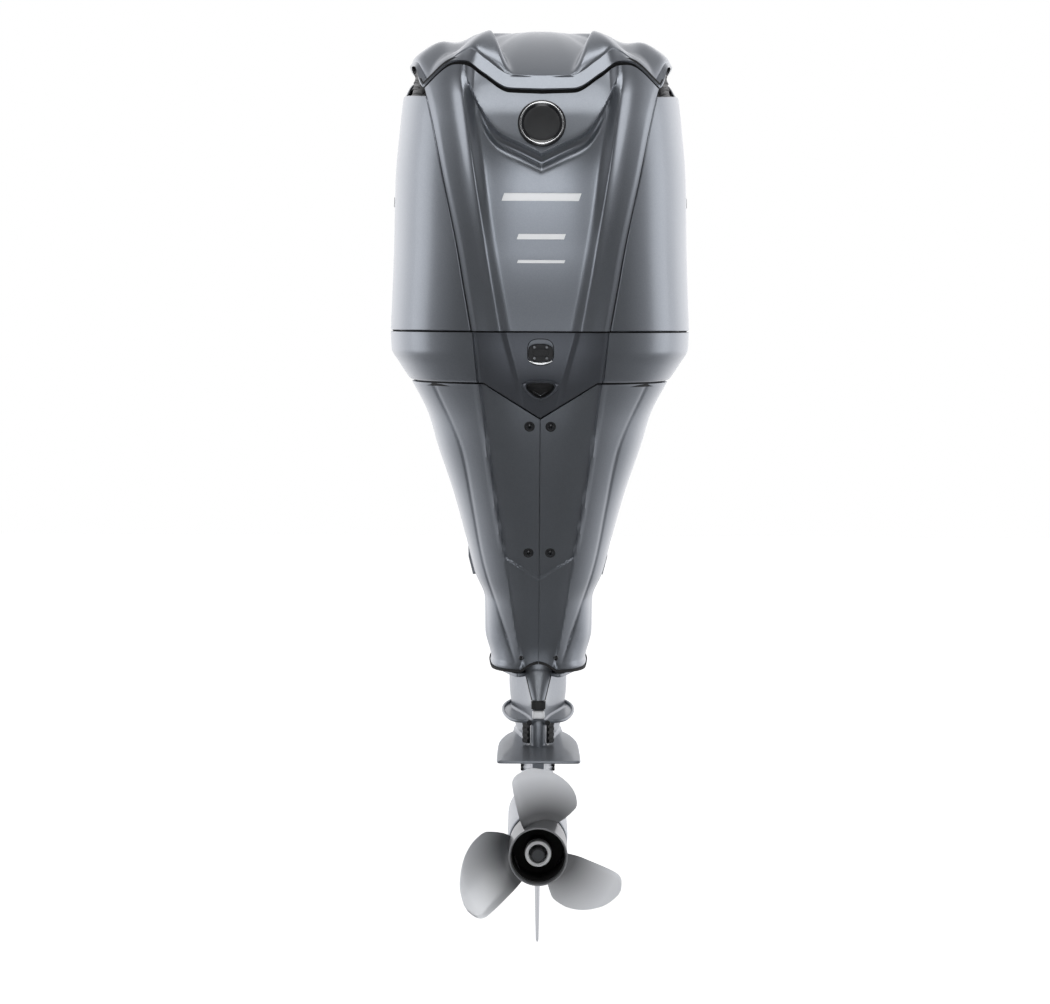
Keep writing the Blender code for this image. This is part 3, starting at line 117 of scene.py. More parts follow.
class Outline:
    """Plan sections of a hull, one for each height: squarish ovals, measured along their length.

    s runs from 0 at the rear centre to 1 at the front centre, and is negative to port.
    """

    LEVELS, STEPS = 121, 321

    def __init__(self, width, rear, front, square_rear, square_front, low, high, widest=WIDEST_Y):
        self.width, self.rear, self.front, self.widest = width, rear, front, widest
        self.square_rear, self.square_front = square_rear, square_front
        self.low, self.high = low, high
        even = np.linspace(0, 1, self.STEPS)
        xs, ys = [], []
        for z in np.linspace(low, high, self.LEVELS):
            x, y, s = self.half(z)
            xs.append(np.interp(even, s, x))
            ys.append(np.interp(even, s, y))
        self.xs, self.ys = np.array(xs), np.array(ys)

    def half(self, z):
        w, aft, fore = self.width(z), self.widest - self.rear(z), self.front(z) - self.widest
        a = np.linspace(0, np.pi / 2, 241)
        pr, pf = 2 / self.square_rear, 2 / self.square_front
        x = np.concatenate([w * np.sin(a) ** pr, (w * np.sin(a) ** pf)[::-1][1:]])
        y = np.concatenate([self.widest - aft * np.cos(a) ** pr,
                            (self.widest + fore * np.cos(a) ** pf)[::-1][1:]])
        run = np.concatenate([[0], np.cumsum(np.hypot(np.diff(x), np.diff(y)))])
        return x, y, run / run[-1]

    def at(self, z, s):
        """Arrays of x and y for arrays of height and signed s."""
        z, s = np.broadcast_arrays(np.asarray(z, float), np.asarray(s, float))
        u = np.clip((z - self.low) / (self.high - self.low), 0, 1) * (self.LEVELS - 1)
        v = np.clip(np.abs(s), 0, 1) * (self.STEPS - 1)
        i = np.minimum(u.astype(int), self.LEVELS - 2)
        j = np.minimum(v.astype(int), self.STEPS - 2)
        fu, fv = u - i, v - j
        found = []
        for table in (self.xs, self.ys):
            near = table[i, j] * (1 - fv) + table[i, j + 1] * fv
            far = table[i + 1, j] * (1 - fv) + table[i + 1, j + 1] * fv
            found.append(near * (1 - fu) + far * fu)
        return np.where(s < 0, -found[0], found[0]), found[1]

    def s_at_x(self, z, x_wanted):
        x, _, s = self.half(z)
        k = int(np.argmax(x))
        return float(np.interp(x_wanted, x[: k + 1], s[: k + 1]))

    def rear_y(self, x, z):
        """Arrays of y on the rear half of the sections."""
        power = self.square_rear
        t = np.clip(np.abs(x) / self.width(z), 0, 1)
        return self.widest - (self.widest - self.rear(z)) * (1 - t ** power) ** (1 / power)


COWL = Outline(
    width=curve((0.204, 0.312), (0.365, 0.305), (0.52, 0.301), (0.62, 0.292), (0.675, 0.286), (0.745, 0.272)),
    rear=curve((0.204, -0.665), (0.36, -0.693), (0.53, -0.71), (0.62, -0.704), (0.68, -0.69),
               (0.745, -0.662)),
    front=curve((0.204, 0.15), (0.45, 0.165), (0.65, 0.15), (0.745, 0.118)),
    square_rear=3.0, square_front=2.5, low=0.204, high=0.76,
)
PAN = Outline(
    width=curve((0.1, 0.268), (0.112, 0.276), (0.138, 0.293), (0.168, 0.31), (0.204, 0.312)),
    rear=curve((0.035, -0.618), (0.105, -0.645), (0.204, -0.665)),
    front=curve((0.1, 0.12), (0.16, 0.147), (0.204, 0.15)),
    square_rear=3.0, square_front=2.5, low=0.03, high=0.204,
)
APRON = Outline(
    width=curve((-0.494, 0.096), (-0.47, 0.1), (-0.42, 0.112), (-0.352, 0.113), (-0.3, 0.133),
                (-0.234, 0.15), (-0.132, 0.178), (-0.031, 0.212), (0.036, 0.232), (0.102, 0.266)),
    rear=curve((-0.494, -0.468), (-0.45, -0.474), (-0.4, -0.488), (-0.3, -0.525), (-0.15, -0.575),
               (0.0, -0.62), (0.102, -0.643)),
    front=curve((-0.494, -0.06), (0.102, -0.03)),
    square_rear=2.7, square_front=2.3, low=-0.494, high=0.104, widest=-0.33,
)

rear_seam = curve((0.204, 0.1345), (0.3, 0.151), (0.36, 0.161), (0.5, 0.19), (0.66, 0.224), (0.7, 0.236))
rear_ridge = curve((0.204, 0.08), (0.33, 0.1025), (0.4, 0.114), (0.47, 0.125), (0.6, 0.144), (0.7, 0.158))
shelf_edge = curve((0.0, 0.5425), (0.04, 0.562), (0.083, 0.584), (0.118, 0.631), (0.144, 0.69), (0.15, 0.71))
cap_rear_edge = curve((0.0, 0.674), (0.062, 0.676), (0.115, 0.708), (0.15, 0.733), (0.17, 0.735),
                      (0.236, 0.69))
cap_side_edge = curve((0.0, 0.69), (0.1, 0.738), (0.25, 0.747), (1.0, 0.742))
shell_top_edge = curve((0.0, 0.668), (0.1, 0.676), (0.3, 0.69), (0.45, 0.728), (0.55, 0.741), (1.0, 0.737))
shield_seam = curve((0.1, 0.122), (0.204, 0.131))
CHEVRON_Z, CHEVRON_SLOPE = -0.295, 0.62
apron_ridge = curve((-0.49, 0.032), (-0.44, 0.0426), (-0.246, 0.072), (-0.145, 0.088), (-0.041, 0.103),
                    (0.108, 0.123))
apron_crease = curve((-0.47, 0.05), (-0.385, 0.078), (-0.26, 0.116), (-0.146, 0.136), (-0.041, 0.155),
                     (0.1, 0.214))


def cowl_relief(x, z):
    """How far the rear of the top cowl stands out from its plain section."""
    x = np.abs(x)
    upper = smooth((z - 0.36) / 0.26)
    across = x - rear_ridge(z)
    crest = 0.003 + 0.013 * upper * smooth((0.715 - z) / 0.05)
    inner = np.exp(-(np.hypot(across, 0.0025) - 0.0025) / (0.01 + 0.004 * upper))
    ridge = crest * np.where(across > 0, bump_at(across, 0.014), inner)
    channel = (-0.004 - 0.003 * upper) * smooth((rear_ridge(z) - x) / 0.024)
    above = z - shelf_edge(x)
    lean = 1 - 0.75 * np.clip(above / 0.13, 0, 1)
    shelf = 0.021 * smooth(above / 0.006) * lean * smooth((0.15 - x) / 0.02)
    cove = -0.007 * bump_at(above + 0.012, 0.011) * smooth((0.125 - x) / 0.03)
    dip = -0.003 * (1 - smooth((rear_seam(z) - x) / 0.012))
    return ridge + channel + shelf + cove + dip


def apron_relief(x, z):
    """How far the apron stands out: a recess with a chevron foot, chamfers beside it, and a crease."""
    x = np.abs(x)
    ridge, crease = apron_ridge(z), apron_crease(z)
    above = z - (CHEVRON_Z + CHEVRON_SLOPE * x)
    depth = 0.0018 + 0.0048 * smooth(above / 0.004 + 0.5)
    recess = -depth * smooth((ridge - x) / 0.0035)
    lip = 0.0022 * bump_at(x - ridge - 0.003, 0.003) * smooth(above / 0.03)
    share = np.clip((x - ridge) / (crease - ridge), 0, 1)
    groove = -0.003 * bump_at(x - crease, 0.003)
    fade = smooth((0.492 + z) / 0.08)
    return recess + lip + (-0.017 * share + groove) * fade


# ---------------------------------------------------------------- materials
class Graph:
    """A node tree, with one call that adds a node and feeds its inputs."""

    def __init__(self, owner):
        owner.use_nodes = True
        self.nodes, self.links = owner.node_tree.nodes, owner.node_tree.links

    def add(self, kind, *values, operation=None, **named):
        made = self.nodes.new("ShaderNode" + kind)
        if operation:
            made.operation = operation
        return self.feed(made, dict(enumerate(values)), **named)

    def feed(self, node, by_index=None, **named):
        """Gives inputs, by index or by name with _ for a space, a value or a socket to join."""
        inputs = dict(by_index or {})
        inputs.update((name.replace("_", " "), value) for name, value in named.items())
        for key, value in inputs.items():
            if isinstance(value, bpy.types.NodeSocket):
                self.links.new(value, node.inputs[key])
            else:
                node.inputs[key].default_value = value
        return node

    def noise(self, place, scale, detail, stretch=None):
        if stretch:
            place = self.add("Mapping", Vector=place, Scale=stretch).outputs["Vector"]
        return self.add("TexNoise", Vector=place, Scale=scale, Detail=detail).outputs["Fac"]

    def remap(self, value, low, high, start=0.3, end=0.7):
        ranged = self.add("MapRange", Value=value, From_Min=start, From_Max=end, To_Min=low, To_Max=high)
        return ranged.outputs["Result"]

    def mixed(self, factor, first, second):
        mix = self.add("Mix")
        mix.data_type = "RGBA"
        return self.feed(mix, {0: factor, 6: first, 7: second}).outputs[2]

    def grey_ramp(self, factor, *stops):
        """A colour ramp with grey stops, each a position and a value."""
        made = self.add("ValToRGB", factor)
        elements = made.color_ramp.elements
        for at, _ in stops[1:-1]:
            elements.new(at)
        for element, (at, value) in zip(elements, stops):
            element.position = at
            element.color = (value, value, value * 1.02, 1)
        return made.outputs["Color"]


def tinted(colour, factor):
    return (*(min(1.0, c * factor) for c in colour), 1.0)


def surface(name, colour, metallic, rough, coat=0.0, grain=300.0, bump=0.03, spread=0.1,
            flake=0.0, blotch=6.0, stretch=None, painted_root_shade=None):
    """One procedural finish: blotches and fine grain in the colour, roughness and height, and optionally
    painted shade that darkens the colour towards an axis.
    """
    made = bpy.data.materials.new(name)
    graph = Graph(made)
    place = graph.add("TexCoord").outputs["Object"]
    broad = graph.noise(place, blotch, 3.0)
    fine = graph.noise(place, grain, 2.0, stretch)
    tone = graph.mixed(graph.remap(broad, 0.0, 1.0), tinted(colour, 1 - spread), tinted(colour, 1 + spread))
    if flake:
        cells = graph.add("TexVoronoi", Vector=place, Scale=700.0)
        apart = graph.add("SeparateColor", cells.outputs["Color"])
        tone = graph.mixed(graph.remap(apart.outputs["Red"], 0.0, flake, 0.0, 1.0), tone, tinted(colour, 1.9))
    # painted shade: the colour darkens to a fifth towards the axis through middle, fully inside the first
    # reach and fading out by the second
    if painted_root_shade:
        middle, reach, dark = painted_root_shade
        flat = graph.add("VectorMath", place, (1, 0, 1), operation="MULTIPLY")
        away = graph.add("VectorMath", flat.outputs["Vector"], middle, operation="DISTANCE")
        tone = graph.mixed(graph.remap(away.outputs["Value"], dark, 0.0, *reach), tone, tinted(colour, 0.2))
    both = graph.add("Math", broad, fine, operation="ADD").outputs[0]
    shader = graph.feed(graph.nodes["Principled BSDF"], Base_Color=tone, Metallic=metallic, Coat_Weight=coat,
                        Coat_Roughness=0.06, Roughness=graph.remap(both, *rough, 0.7, 1.3))
    if bump:
        height = graph.add("Bump", Strength=bump, Distance=0.001, Height=fine)
        graph.feed(shader, Normal=height.outputs["Normal"])
    return made


PAINT = surface("paint_blue_grey", (0.255, 0.274, 0.305), 0.8, (0.29, 0.34),
                0.15, 260, 0.03, 0.04, 0.1, 4.0)
DARK_PAINT = surface("paint_dark", (0.155, 0.167, 0.19), 0.8, (0.3, 0.36),
                     0.15, 260, 0.03, 0.05, 0.08)
LEG_PAINT = surface("paint_leg", (0.265, 0.283, 0.312), 0.8, (0.38, 0.46),
                    0.2, 220, 0.08, 0.06, 0.12)
BRACKET_PAINT = surface("paint_bracket", (0.21, 0.225, 0.25), 0.7, (0.38, 0.5),
                        0.15, 200, 0.15, 0.08, 0.1)
CAST = surface("cast_alloy", (0.5, 0.51, 0.52), 0.9, (0.45, 0.62), 0, 420, 0.5, 0.12, 0, 9.0)
STEEL = surface("bright_steel", (0.62, 0.63, 0.64), 1.0, (0.2, 0.34),
                0, 500, 0.05, 0.06, 0, 12, (1, 1, 14))
# satin steel for the propeller, with painted shade that darkens the blades towards the hub
PROP_STEEL = surface("satin_steel", (0.93, 0.95, 0.99), 0.38, (0.32, 0.42),
                     0.1, 240, 0.06, 0.03, 0, 7, (1, 3, 1), ((0, 0, SHAFT_Z), (0.075, 0.16), 1.0))
BRIGHT_ALLOY = surface("satin_alloy", (0.86, 0.87, 0.88), 0.2, (0.3, 0.42), 0.1, 300, 0.05, 0.04)
# near-black: painted shade for the inside of the propeller hub
BORE_SHADE = surface("painted_bore_shade", (0.006, 0.006, 0.006), 0.0, (0.8, 0.95), 0, 500, 0.2, 0.3)
OILED_STEEL = surface("oiled_steel", (0.045, 0.047, 0.05), 0.6, (0.3, 0.45), 0, 500, 0.08, 0.15)
DARK_STEEL = surface("blackened_steel", (0.16, 0.165, 0.175), 1.0, (0.28, 0.42), 0, 500, 0.05, 0.1)
CHROME = surface("polished_metal", (0.8, 0.81, 0.82), 1.0, (0.08, 0.16), 0, 300, 0.01, 0.03)
BLACK = surface("black_plastic", (0.018, 0.019, 0.021), 0.0, (0.42, 0.58),
                0, 900, 0.25, 0.15, 0, 20)
GLOSS_BLACK = surface("gloss_black", (0.012, 0.013, 0.015), 0.0, (0.12, 0.2),
                      0.6, 400, 0.02, 0.1)
RUBBER = surface("rubber", (0.022, 0.022, 0.023), 0.0, (0.7, 0.85), 0, 700, 0.35, 0.15, 0, 30)
ZINC = surface("zinc", (0.5, 0.51, 0.52), 0.8, (0.5, 0.7), 0, 160, 0.6, 0.18, 0, 25)


# ---------------------------------------------------------------- mesh tools
SIDES = ((-1, "port"), (1, "starboard"))


def dress(obj, body, finish, replaced=(), angle=38.0):
    """Shades a piece, gives it its finish, ties it to a body, and hides the CAD nodes it stands for."""
    mesh = obj.data
    mesh.shade_smooth()
    mesh.set_sharp_from_angle(angle=math.radians(angle))
    mesh.materials.clear()
    mesh.materials.append(finish)
    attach(obj, body)
    if replaced:
        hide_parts(*replaced)
    return obj


def linked(name, data):
    made = bpy.data.objects.new(name, data)
    bpy.context.scene.collection.objects.link(made)
    return made


def from_bmesh(name, bm):
    bm.normal_update()
    bmesh.ops.recalc_face_normals(bm, faces=bm.faces)
    mesh = bpy.data.meshes.new(name)
    bm.to_mesh(mesh)
    bm.free()
    return linked(name, mesh)


def soften(obj, width, segments=2, angle=40.0):
    step = obj.modifiers.new("edges", "BEVEL")
    step.width = width
    step.segments = segments
    step.limit_method = "ANGLE"
    step.angle_limit = math.radians(angle)
    step.harden_normals = True
    return obj


def skin(name, grid, thickness=0.004, rim=0.0012, closed=False, pole=None):
    """A wall of even thickness behind a grid of points (rows, columns, xyz), its rim rounded.

    A closed grid joins its last column to its first. A pole closes its last row with one point.
    """
    grid = np.asarray(grid, float)
    rows, columns = grid.shape[:2]
    across = np.diff(grid, axis=1)[:-1]
    along = np.diff(grid, axis=0)[:, :-1]
    outward = grid[:-1, :-1] - np.array((0, -0.28, 0))
    turned_out = (np.cross(across, along) * outward).sum() > 0
    vertices = [tuple(p) for p in grid.reshape(-1, 3)]
    faces = []
    for i in range(rows - 1):
        for j in range(columns if closed else columns - 1):
            m = (j + 1) % columns
            a, b = i * columns + j, i * columns + m
            faces.append((a, b, b + columns, a + columns))
    if pole:
        last = (rows - 1) * columns
        faces += [(last + j, last + (j + 1) % columns, len(vertices)) for j in range(columns)]
        vertices.append(pole)
    if not turned_out:
        faces = [face[::-1] for face in faces]
    mesh = bpy.data.meshes.new(name)
    mesh.from_pydata(vertices, [], faces)
    obj = linked(name, mesh)
    wall = obj.modifiers.new("wall", "SOLIDIFY")
    wall.thickness = thickness
    wall.offset = -1.0
    if rim:
        soften(obj, rim)
    return obj


def lofted(name, rings):
    """A solid through rings of points, with flat ends."""
    bm = bmesh.new()
    rows = [[bm.verts.new(tuple(map(float, p))) for p in ring] for ring in rings]
    count = len(rows[0])
    for lower, upper in zip(rows, rows[1:]):
        for k in range(count):
            m = (k + 1) % count
            bm.faces.new([lower[k], lower[m], upper[m], upper[k]])
    bm.faces.new(rows[0])
    bm.faces.new(rows[-1])
    return from_bmesh(name, bm)


def turned(name, profile, origin, axis, sides=96):
    """A lathe shape: profile is a closed loop of (radius, height) about axis through origin."""
    bm = bmesh.new()
    poles = {k: bm.verts.new((0, 0, h)) for k, (r, h) in enumerate(profile) if r <= 1e-9}
    rows = []
    for a in circle(sides):
        rows.append([None if k in poles else bm.verts.new((r * math.cos(a), r * math.sin(a), h))
                     for k, (r, h) in enumerate(profile)])
    for step in range(sides):
        here, there = rows[step], rows[(step + 1) % sides]
        for k in range(len(profile)):
            m = (k + 1) % len(profile)
            if k in poles and m in poles:
                continue
            if k in poles:
                bm.faces.new([poles[k], there[m], here[m]])
            elif m in poles:
                bm.faces.new([here[k], there[k], poles[m]])
            else:
                bm.faces.new([here[k], there[k], there[m], here[m]])
    turn = Vector(axis).to_track_quat("Z", "Y").to_matrix().to_4x4()
    bm.transform(Matrix.Translation(Vector(origin)) @ turn)
    return from_bmesh(name, bm)


def circle(count):
    return [2 * math.pi * k / count for k in range(count)]


def box(name, low, high):
    bm = bmesh.new()
    bmesh.ops.create_cube(bm, size=1.0)
    low, high = Vector(low), Vector(high)
    bmesh.ops.scale(bm, vec=high - low, verts=bm.verts)
    bmesh.ops.translate(bm, vec=(low + high) / 2, verts=bm.verts)
    return from_bmesh(name, bm)


def plate(name, outline, low, high, normal="Y"):
    """A flat outline extruded between two levels along Y or Z; it lists the other two axes in order."""
    def place(p, level):
        return (p[0], level, p[1]) if normal == "Y" else (p[0], p[1], level)

    bm = bmesh.new()
    face = bm.faces.new([bm.verts.new(place(p, low)) for p in outline])
    made = bmesh.ops.extrude_face_region(bm, geom=[face])
    lifted = [v for v in made["geom"] if isinstance(v, bmesh.types.BMVert)]
    bmesh.ops.translate(bm, vec=Vector(place((0, 0), high - low)), verts=lifted)
    return from_bmesh(name, bm)


def joined(*objects):
    """Welds several meshes' faces into the first object."""
    bm = bmesh.new()
    for obj in objects:
        bm.from_mesh(obj.data)
    bm.to_mesh(objects[0].data)
    bm.free()
    for obj in objects[1:]:
        bpy.data.objects.remove(obj, do_unlink=True)
    return objects[0]


def cut_by(obj, *cutters):
    """Cuts holes, then keeps the result as a plain mesh."""
    for cutter in cutters:
        step = obj.modifiers.new("cut", "BOOLEAN")
        step.operation = "DIFFERENCE"
        step.solver = "EXACT"
        step.object = cutter
    settled(obj)
    for cutter in cutters:
        bpy.data.objects.remove(cutter, do_unlink=True)
    return obj


def settled(obj):
    """Replaces an object's mesh with its evaluated one and drops its modifiers."""
    bpy.context.view_layer.update()
    graph = bpy.context.evaluated_depsgraph_get()
    mesh = bpy.data.meshes.new_from_object(obj.evaluated_get(graph))
    obj.modifiers.clear()
    old = obj.data
    obj.data = mesh
    bpy.data.meshes.remove(old)
    return obj


def refined(node, body, finish, edge):
    """A CAD piece with its flat faces merged, its edges rounded and its round faces smooth."""
    bm = bmesh.new()
    bm.from_mesh(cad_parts[node].data)
    bmesh.ops.remove_doubles(bm, verts=bm.verts, dist=2e-6)
    bmesh.ops.dissolve_limit(bm, angle_limit=math.radians(0.8), verts=bm.verts, edges=bm.edges)
    made = soften(from_bmesh(node + "_finished", bm), edge)
    return dress(made, body, finish, (node,), 40)


# ---------------------------------------------------------------- cowling
def seam_start(outline, seam, gap):
    """Where along a section the wrap-round moulding begins, for each height."""
    levels = np.linspace(outline.low, outline.high, 40)
    starts = [outline.s_at_x(z, float(seam(z))) + gap for z in levels]
    return lambda z: np.interp(z, levels, starts)


def cowl_shell():
    """The moulding that runs from the port seam round the front to the starboard seam."""
    half = np.linspace(0, 1, 151)
    f = np.concatenate([half, half[::-1][1:]])
    side = np.concatenate([-np.ones(151), np.ones(150)])
    b = np.linspace(0, 1, 71)[:, None]
    bottom = COWL_SEAM + 0.003
    z = bottom + b * (shell_top_edge(f)[None, :] - bottom)
    start = seam_start(COWL, rear_seam, 0.0022)(z)
    x, y = COWL.at(z, side * (start + (1 - start) * f))
    made = skin("cowl_side_shell", np.stack([x, y, z], 2), 0.0045, 0.0034)
    dress(made, "top_cowl", PAINT, ("cowl_shell",))


def cowl_rear_panel():
    bottom = COWL_SEAM + 0.003
    f = np.linspace(-1, 1, 181)[None, :]
    b = np.linspace(0, 1, 201)[:, None]
    z = bottom + 0 * (b + f)
    for _ in range(8):
        x = f * rear_seam(z)
        z = bottom + b * (cap_rear_edge(np.abs(x)) - 0.0095 - bottom)
    y = COWL.rear_y(x, z) - cowl_relief(x, z)
    made = skin("cowl_rear_skin", np.stack([x, y, z], 2), 0.004, 0.0012)
    dress(made, "top_cowl", PAINT, ("cowl_rear_panel",))


CHAMFER = 0.13                  # share of each dome line that is the bevelled lower band
CROWN_Y = -0.26                 # where the dome lines meet
CAP_CORNER = 0.236              # half-width where the cap's rear edge turns into its side edge


def cap_edge(g):
    """The cap's lower edge at signed g: the rear W for |g| up to a third, then the side edge."""
    a = abs(g)
    if a <= 1 / 3:
        x = CAP_CORNER * 3 * a
        z = cap_rear_edge(x)
        y = COWL.rear_y(x, z)
    else:
        f = (a - 1 / 3) * 1.5
        z = cap_side_edge(f)
        start = COWL.s_at_x(0.69, CAP_CORNER)
        x, y = (float(v) for v in COWL.at(z, start + (1 - start) * f))
    return Vector((-x if g < 0 else x, y, z))


def cap_point(g, q):
    """A point of the dome: q = 0 on the lower edge and 1 at the crown."""
    crown = Vector((0, CROWN_Y, CROWN))
    edge = cap_edge(g)
    aft = smooth((-0.45 - edge.y) / 0.15)
    edge.y -= 0.01 * aft * smooth((0.16 - abs(edge.x)) / 0.03)
    inward = crown - edge
    inward.z = 0
    inward.normalize()
    middle = smooth((0.19 - abs(edge.x)) / 0.05) * aft
    band = edge + inward * (0.005 + 0.015 * aft) + Vector((0, 0, 0.008 + 0.018 * middle))
    if q <= CHAMFER:
        return edge.lerp(band, q / CHAMFER)
    t = (q - CHAMFER) / (1 - CHAMFER)
    angle = t * math.pi / 2
    run, reach = abs(band.y - crown.y), abs(band.x)
    fullness = 1.3 - 0.28 * run / (run + reach)
    fullness += (0.78 - fullness) * smooth(t)
    near, rise = math.cos(angle) ** fullness, math.sin(angle) ** fullness
    p = Vector((band.x * near, crown.y + (band.y - crown.y) * near, band.z + (crown.z - band.z) * rise))
    shoulder = 0.004 * bump_at(abs(p.x) - 0.205, 0.03) * bump_at(p.y + 0.5, 0.13)
    dimple = -0.017 * bump_at(abs(p.x) - 0.167, 0.026) * bump_at(p.y + 0.46, 0.14)
    p.z += (shoulder + dimple) * smooth(t / 0.15) * smooth((1 - t) / 0.3)
    d = (p.y - band.y) / (crown.y - band.y) if aft else 1
    if 0 <= d < 1:
        floor = 0.7 + 0.128 * math.sin(d * math.pi / 2) ** 0.9
        half = 0.056 + 0.09 * min(d, 0.7)
        mask = smooth((half + 0.024 - abs(p.x)) / 0.03) * smooth(t / 0.03)
        p.z += (min(floor, p.z) - p.z) * mask * aft
    return p


def cowl_top_cap():
    columns = [k / 144 for k in range(-144, 144)]
    rows = [CHAMFER * k / 6 for k in range(6)]
    rows += [CHAMFER + (0.985 - CHAMFER) * (k / 60) ** 1.2 for k in range(61)]
    grid = [[cap_point(g, q) for g in columns] for q in rows]
    made = skin("cowl_cap", grid, 0.004, 0.0012, True, (0, CROWN_Y, CROWN))
    dress(made, "top_cowl", PAINT, ("cowl_top_cap",), 32)
    # A rubber-black strip just inside the cap's lower edge: painted shade that keeps the seam gap dark.
    rows = []
    for drop in (-0.016, 0.006):
        rows.append([cap_edge(k / 300) + Vector((0, 0.009, drop)) for k in range(-104, 105)])
    seam_shade = skin("cap_seam_shade_strip", rows, 0.003, 0)
    dress(seam_shade, "top_cowl", RUBBER)


def air_intake(side, suffix):
    """Slanted louvres in the slot between the cap's side edge and the shell's top edge."""
    start = COWL.s_at_x(0.69, CAP_CORNER)

    def strip(f_low, f_high, low_share, high_share, deep_low, deep_high):
        f = np.linspace(f_low, f_high, 60)
        low, high = shell_top_edge(f) - 0.006, cap_side_edge(f) + 0.008
        rows = []
        for share, deep in ((low_share, deep_low), (high_share, deep_high)):
            z = low + (high - low) * share
            x, y = COWL.at(z, start + (1 - start) * f)
            rows.append(np.stack([side * x * (1 - deep / 0.3), y * (1 - deep / 0.45), z], 1))
        return rows

    back = skin("intake_back_" + suffix, strip(0.0, 0.42, 0.0, 1.0, 0.017, 0.017), 0.002, 0)
    dress(back, "top_cowl", BLACK, ("air_intake_grille_" + suffix,))
    slats = []
    for k in range(5):
        share = 0.1 + 0.18 * k
        slat = strip(0.03, 0.4, share, share + 0.08, 0.0145, 0.0165)
        slats.append(settled(skin("slat", slat, 0.0018, 0.0004)))
    dress(joined(*slats), "top_cowl", BLACK).name = "intake_louvres_" + suffix


def emblem():
    """A plain round badge on the shelf: a dark dish in a bright ring."""
    low, middle, high = (
        Vector((0, float(COWL.rear_y(0.0, z) - cowl_relief(0.0, z)), z)) for z in (0.57, 0.606, 0.642)
    )
    outward = (high - low).cross(Vector((-1, 0, 0))).normalized()
    if outward.y > 0:
        outward = -outward
    profile = [(0, -0.001), (0.0465, -0.001), (0.0465, 0.003), (0.045, 0.0048), (0.0425, 0.0052),
               (0.0385, 0.005), (0.037, 0.0036), (0.02, 0.0028), (0, 0.0026)]
    rim = turned("emblem_rim", profile, middle, outward, 128)
    dress(rim, "top_cowl", GLOSS_BLACK, ("badge_disc",), 50)
    profile = [(0.0395, 0.0049), (0.04, 0.0056), (0.0412, 0.0059), (0.0424, 0.0056), (0.043, 0.0049)]
    dress(turned("emblem_ring", profile, middle, outward, 128), "top_cowl", CHROME, (), 60)
    profile = [(0, 0.0026), (0.035, 0.003), (0.0345, 0.0037), (0.03, 0.0041), (0.0285, 0.0037), (0, 0.0037)]
    dress(turned("emblem_dish", profile, middle, outward), "top_cowl", BLACK, (), 40)


def stripe(name, grid):
    """A plain raised bar of satin metal that follows the cowl."""
    made = skin(name, grid, 0.0022, 0.0006)
    return dress(made, "top_cowl", BRIGHT_ALLOY)


def stripes():
    """Three plain bars on the rear panel and one on each side, where such motors carry their badges."""
    for number, (z, width, height) in enumerate(((0.466, 0.15, 0.015), (0.39, 0.092, 0.0105),
                                                 (0.342, 0.092, 0.006)), 1):
        u = np.linspace(-0.5, 0.5, 49)[:, None]
        v = np.linspace(-0.5, 0.5, 5)[None, :]
        x, high = u * width + v * height * 0.35, z + v * height + 0 * u
        y = COWL.rear_y(x, high) - cowl_relief(x, high) - 0.002
        stripe(f"rear_stripe_{number}", np.stack([x, y, high], 2))
    for side, suffix in SIDES:
        u = np.linspace(0, 1, 81)[:, None]
        v = np.linspace(-0.5, 0.5, 5)[None, :]
        high = 0.47 + 0.02 * v + 0 * u
        x, y = COWL.at(high, 0.43 + 0.27 * u + 0.006 * v)
        stripe("side_stripe_" + suffix, np.stack([side * (x + 0.002), y, high], 2))


def bottom_cowl():
    """The pan: an outer wall that tapers in, and a floor round the opening for the leg."""
    levels = np.concatenate([np.linspace(0.2038, 0.1095, 48), [0.1075, 0.1062, 0.1055]])
    seams = seam_start(PAN, shield_seam, 0.0)
    grid = []
    behind, around = np.linspace(0, 1, 14), np.linspace(0, 1, 150)
    for z in levels:
        seam = seams(z)
        s = np.concatenate([(seam + 0.001) * behind, seam + 0.0035 + (0.9965 - seam) * around])
        s = np.concatenate([-s[1:-1][::-1], s])
        x, y = PAN.at(np.full(len(s), z), s)
        y = y + np.where(np.abs(s) < seam + 0.002, 0.0075, 0.0)
        tuck = 0.0035 * smooth((0.1095 - z) / 0.004) ** 2
        y = y + tuck * np.sign(WIDEST_Y - y) * 0.8
        grid.append(np.stack([x * (1 - tuck / 0.3), y, np.full(len(s), z)], 1))
    outer = grid[-1]
    angles = np.arctan2(outer[:, 0], -(outer[:, 1] + 0.33))
    across, along = np.sin(angles), np.cos(angles)
    hole = np.stack([0.15 * np.sign(across) * np.abs(across) ** 0.5,
                     -0.33 - 0.175 * np.sign(along) * np.abs(along) ** 0.5, outer[:, 2]], 1)
    for share in np.linspace(0.1, 1, 8):
        grid.append(outer + (hole - outer) * share)
    made = skin("bottom_cowl_pan", grid, 0.004, 0.0012, True)
    dress(made, "steered_leg", PAINT, ("bottom_cowl",))


def apron_seal():
    """A dark strip that closes the gap between the pan and the apron."""
    s = np.linspace(-0.8, 0.8, 241)
    rows = []
    for z in (0.096, 0.1065):
        x, y = APRON.at(np.full(241, 0.098), s)
        rows.append(np.stack([x * 0.972, (y + 0.33) * 0.972 - 0.33, np.full(241, z)], 1))
    dress(skin("apron_seal", rows, 0.004, 0), "steered_leg", RUBBER)


def shield_bottom(x):
    """Lower edge of the rear shield: a V with short level ends."""
    return SHIELD_TIP + 0.07 * np.clip(np.abs(x) / 0.112, 0, 1)


shield_rib = curve((0.03, 0.028), (0.066, 0.036), (0.199, 0.071), (0.21, 0.074))


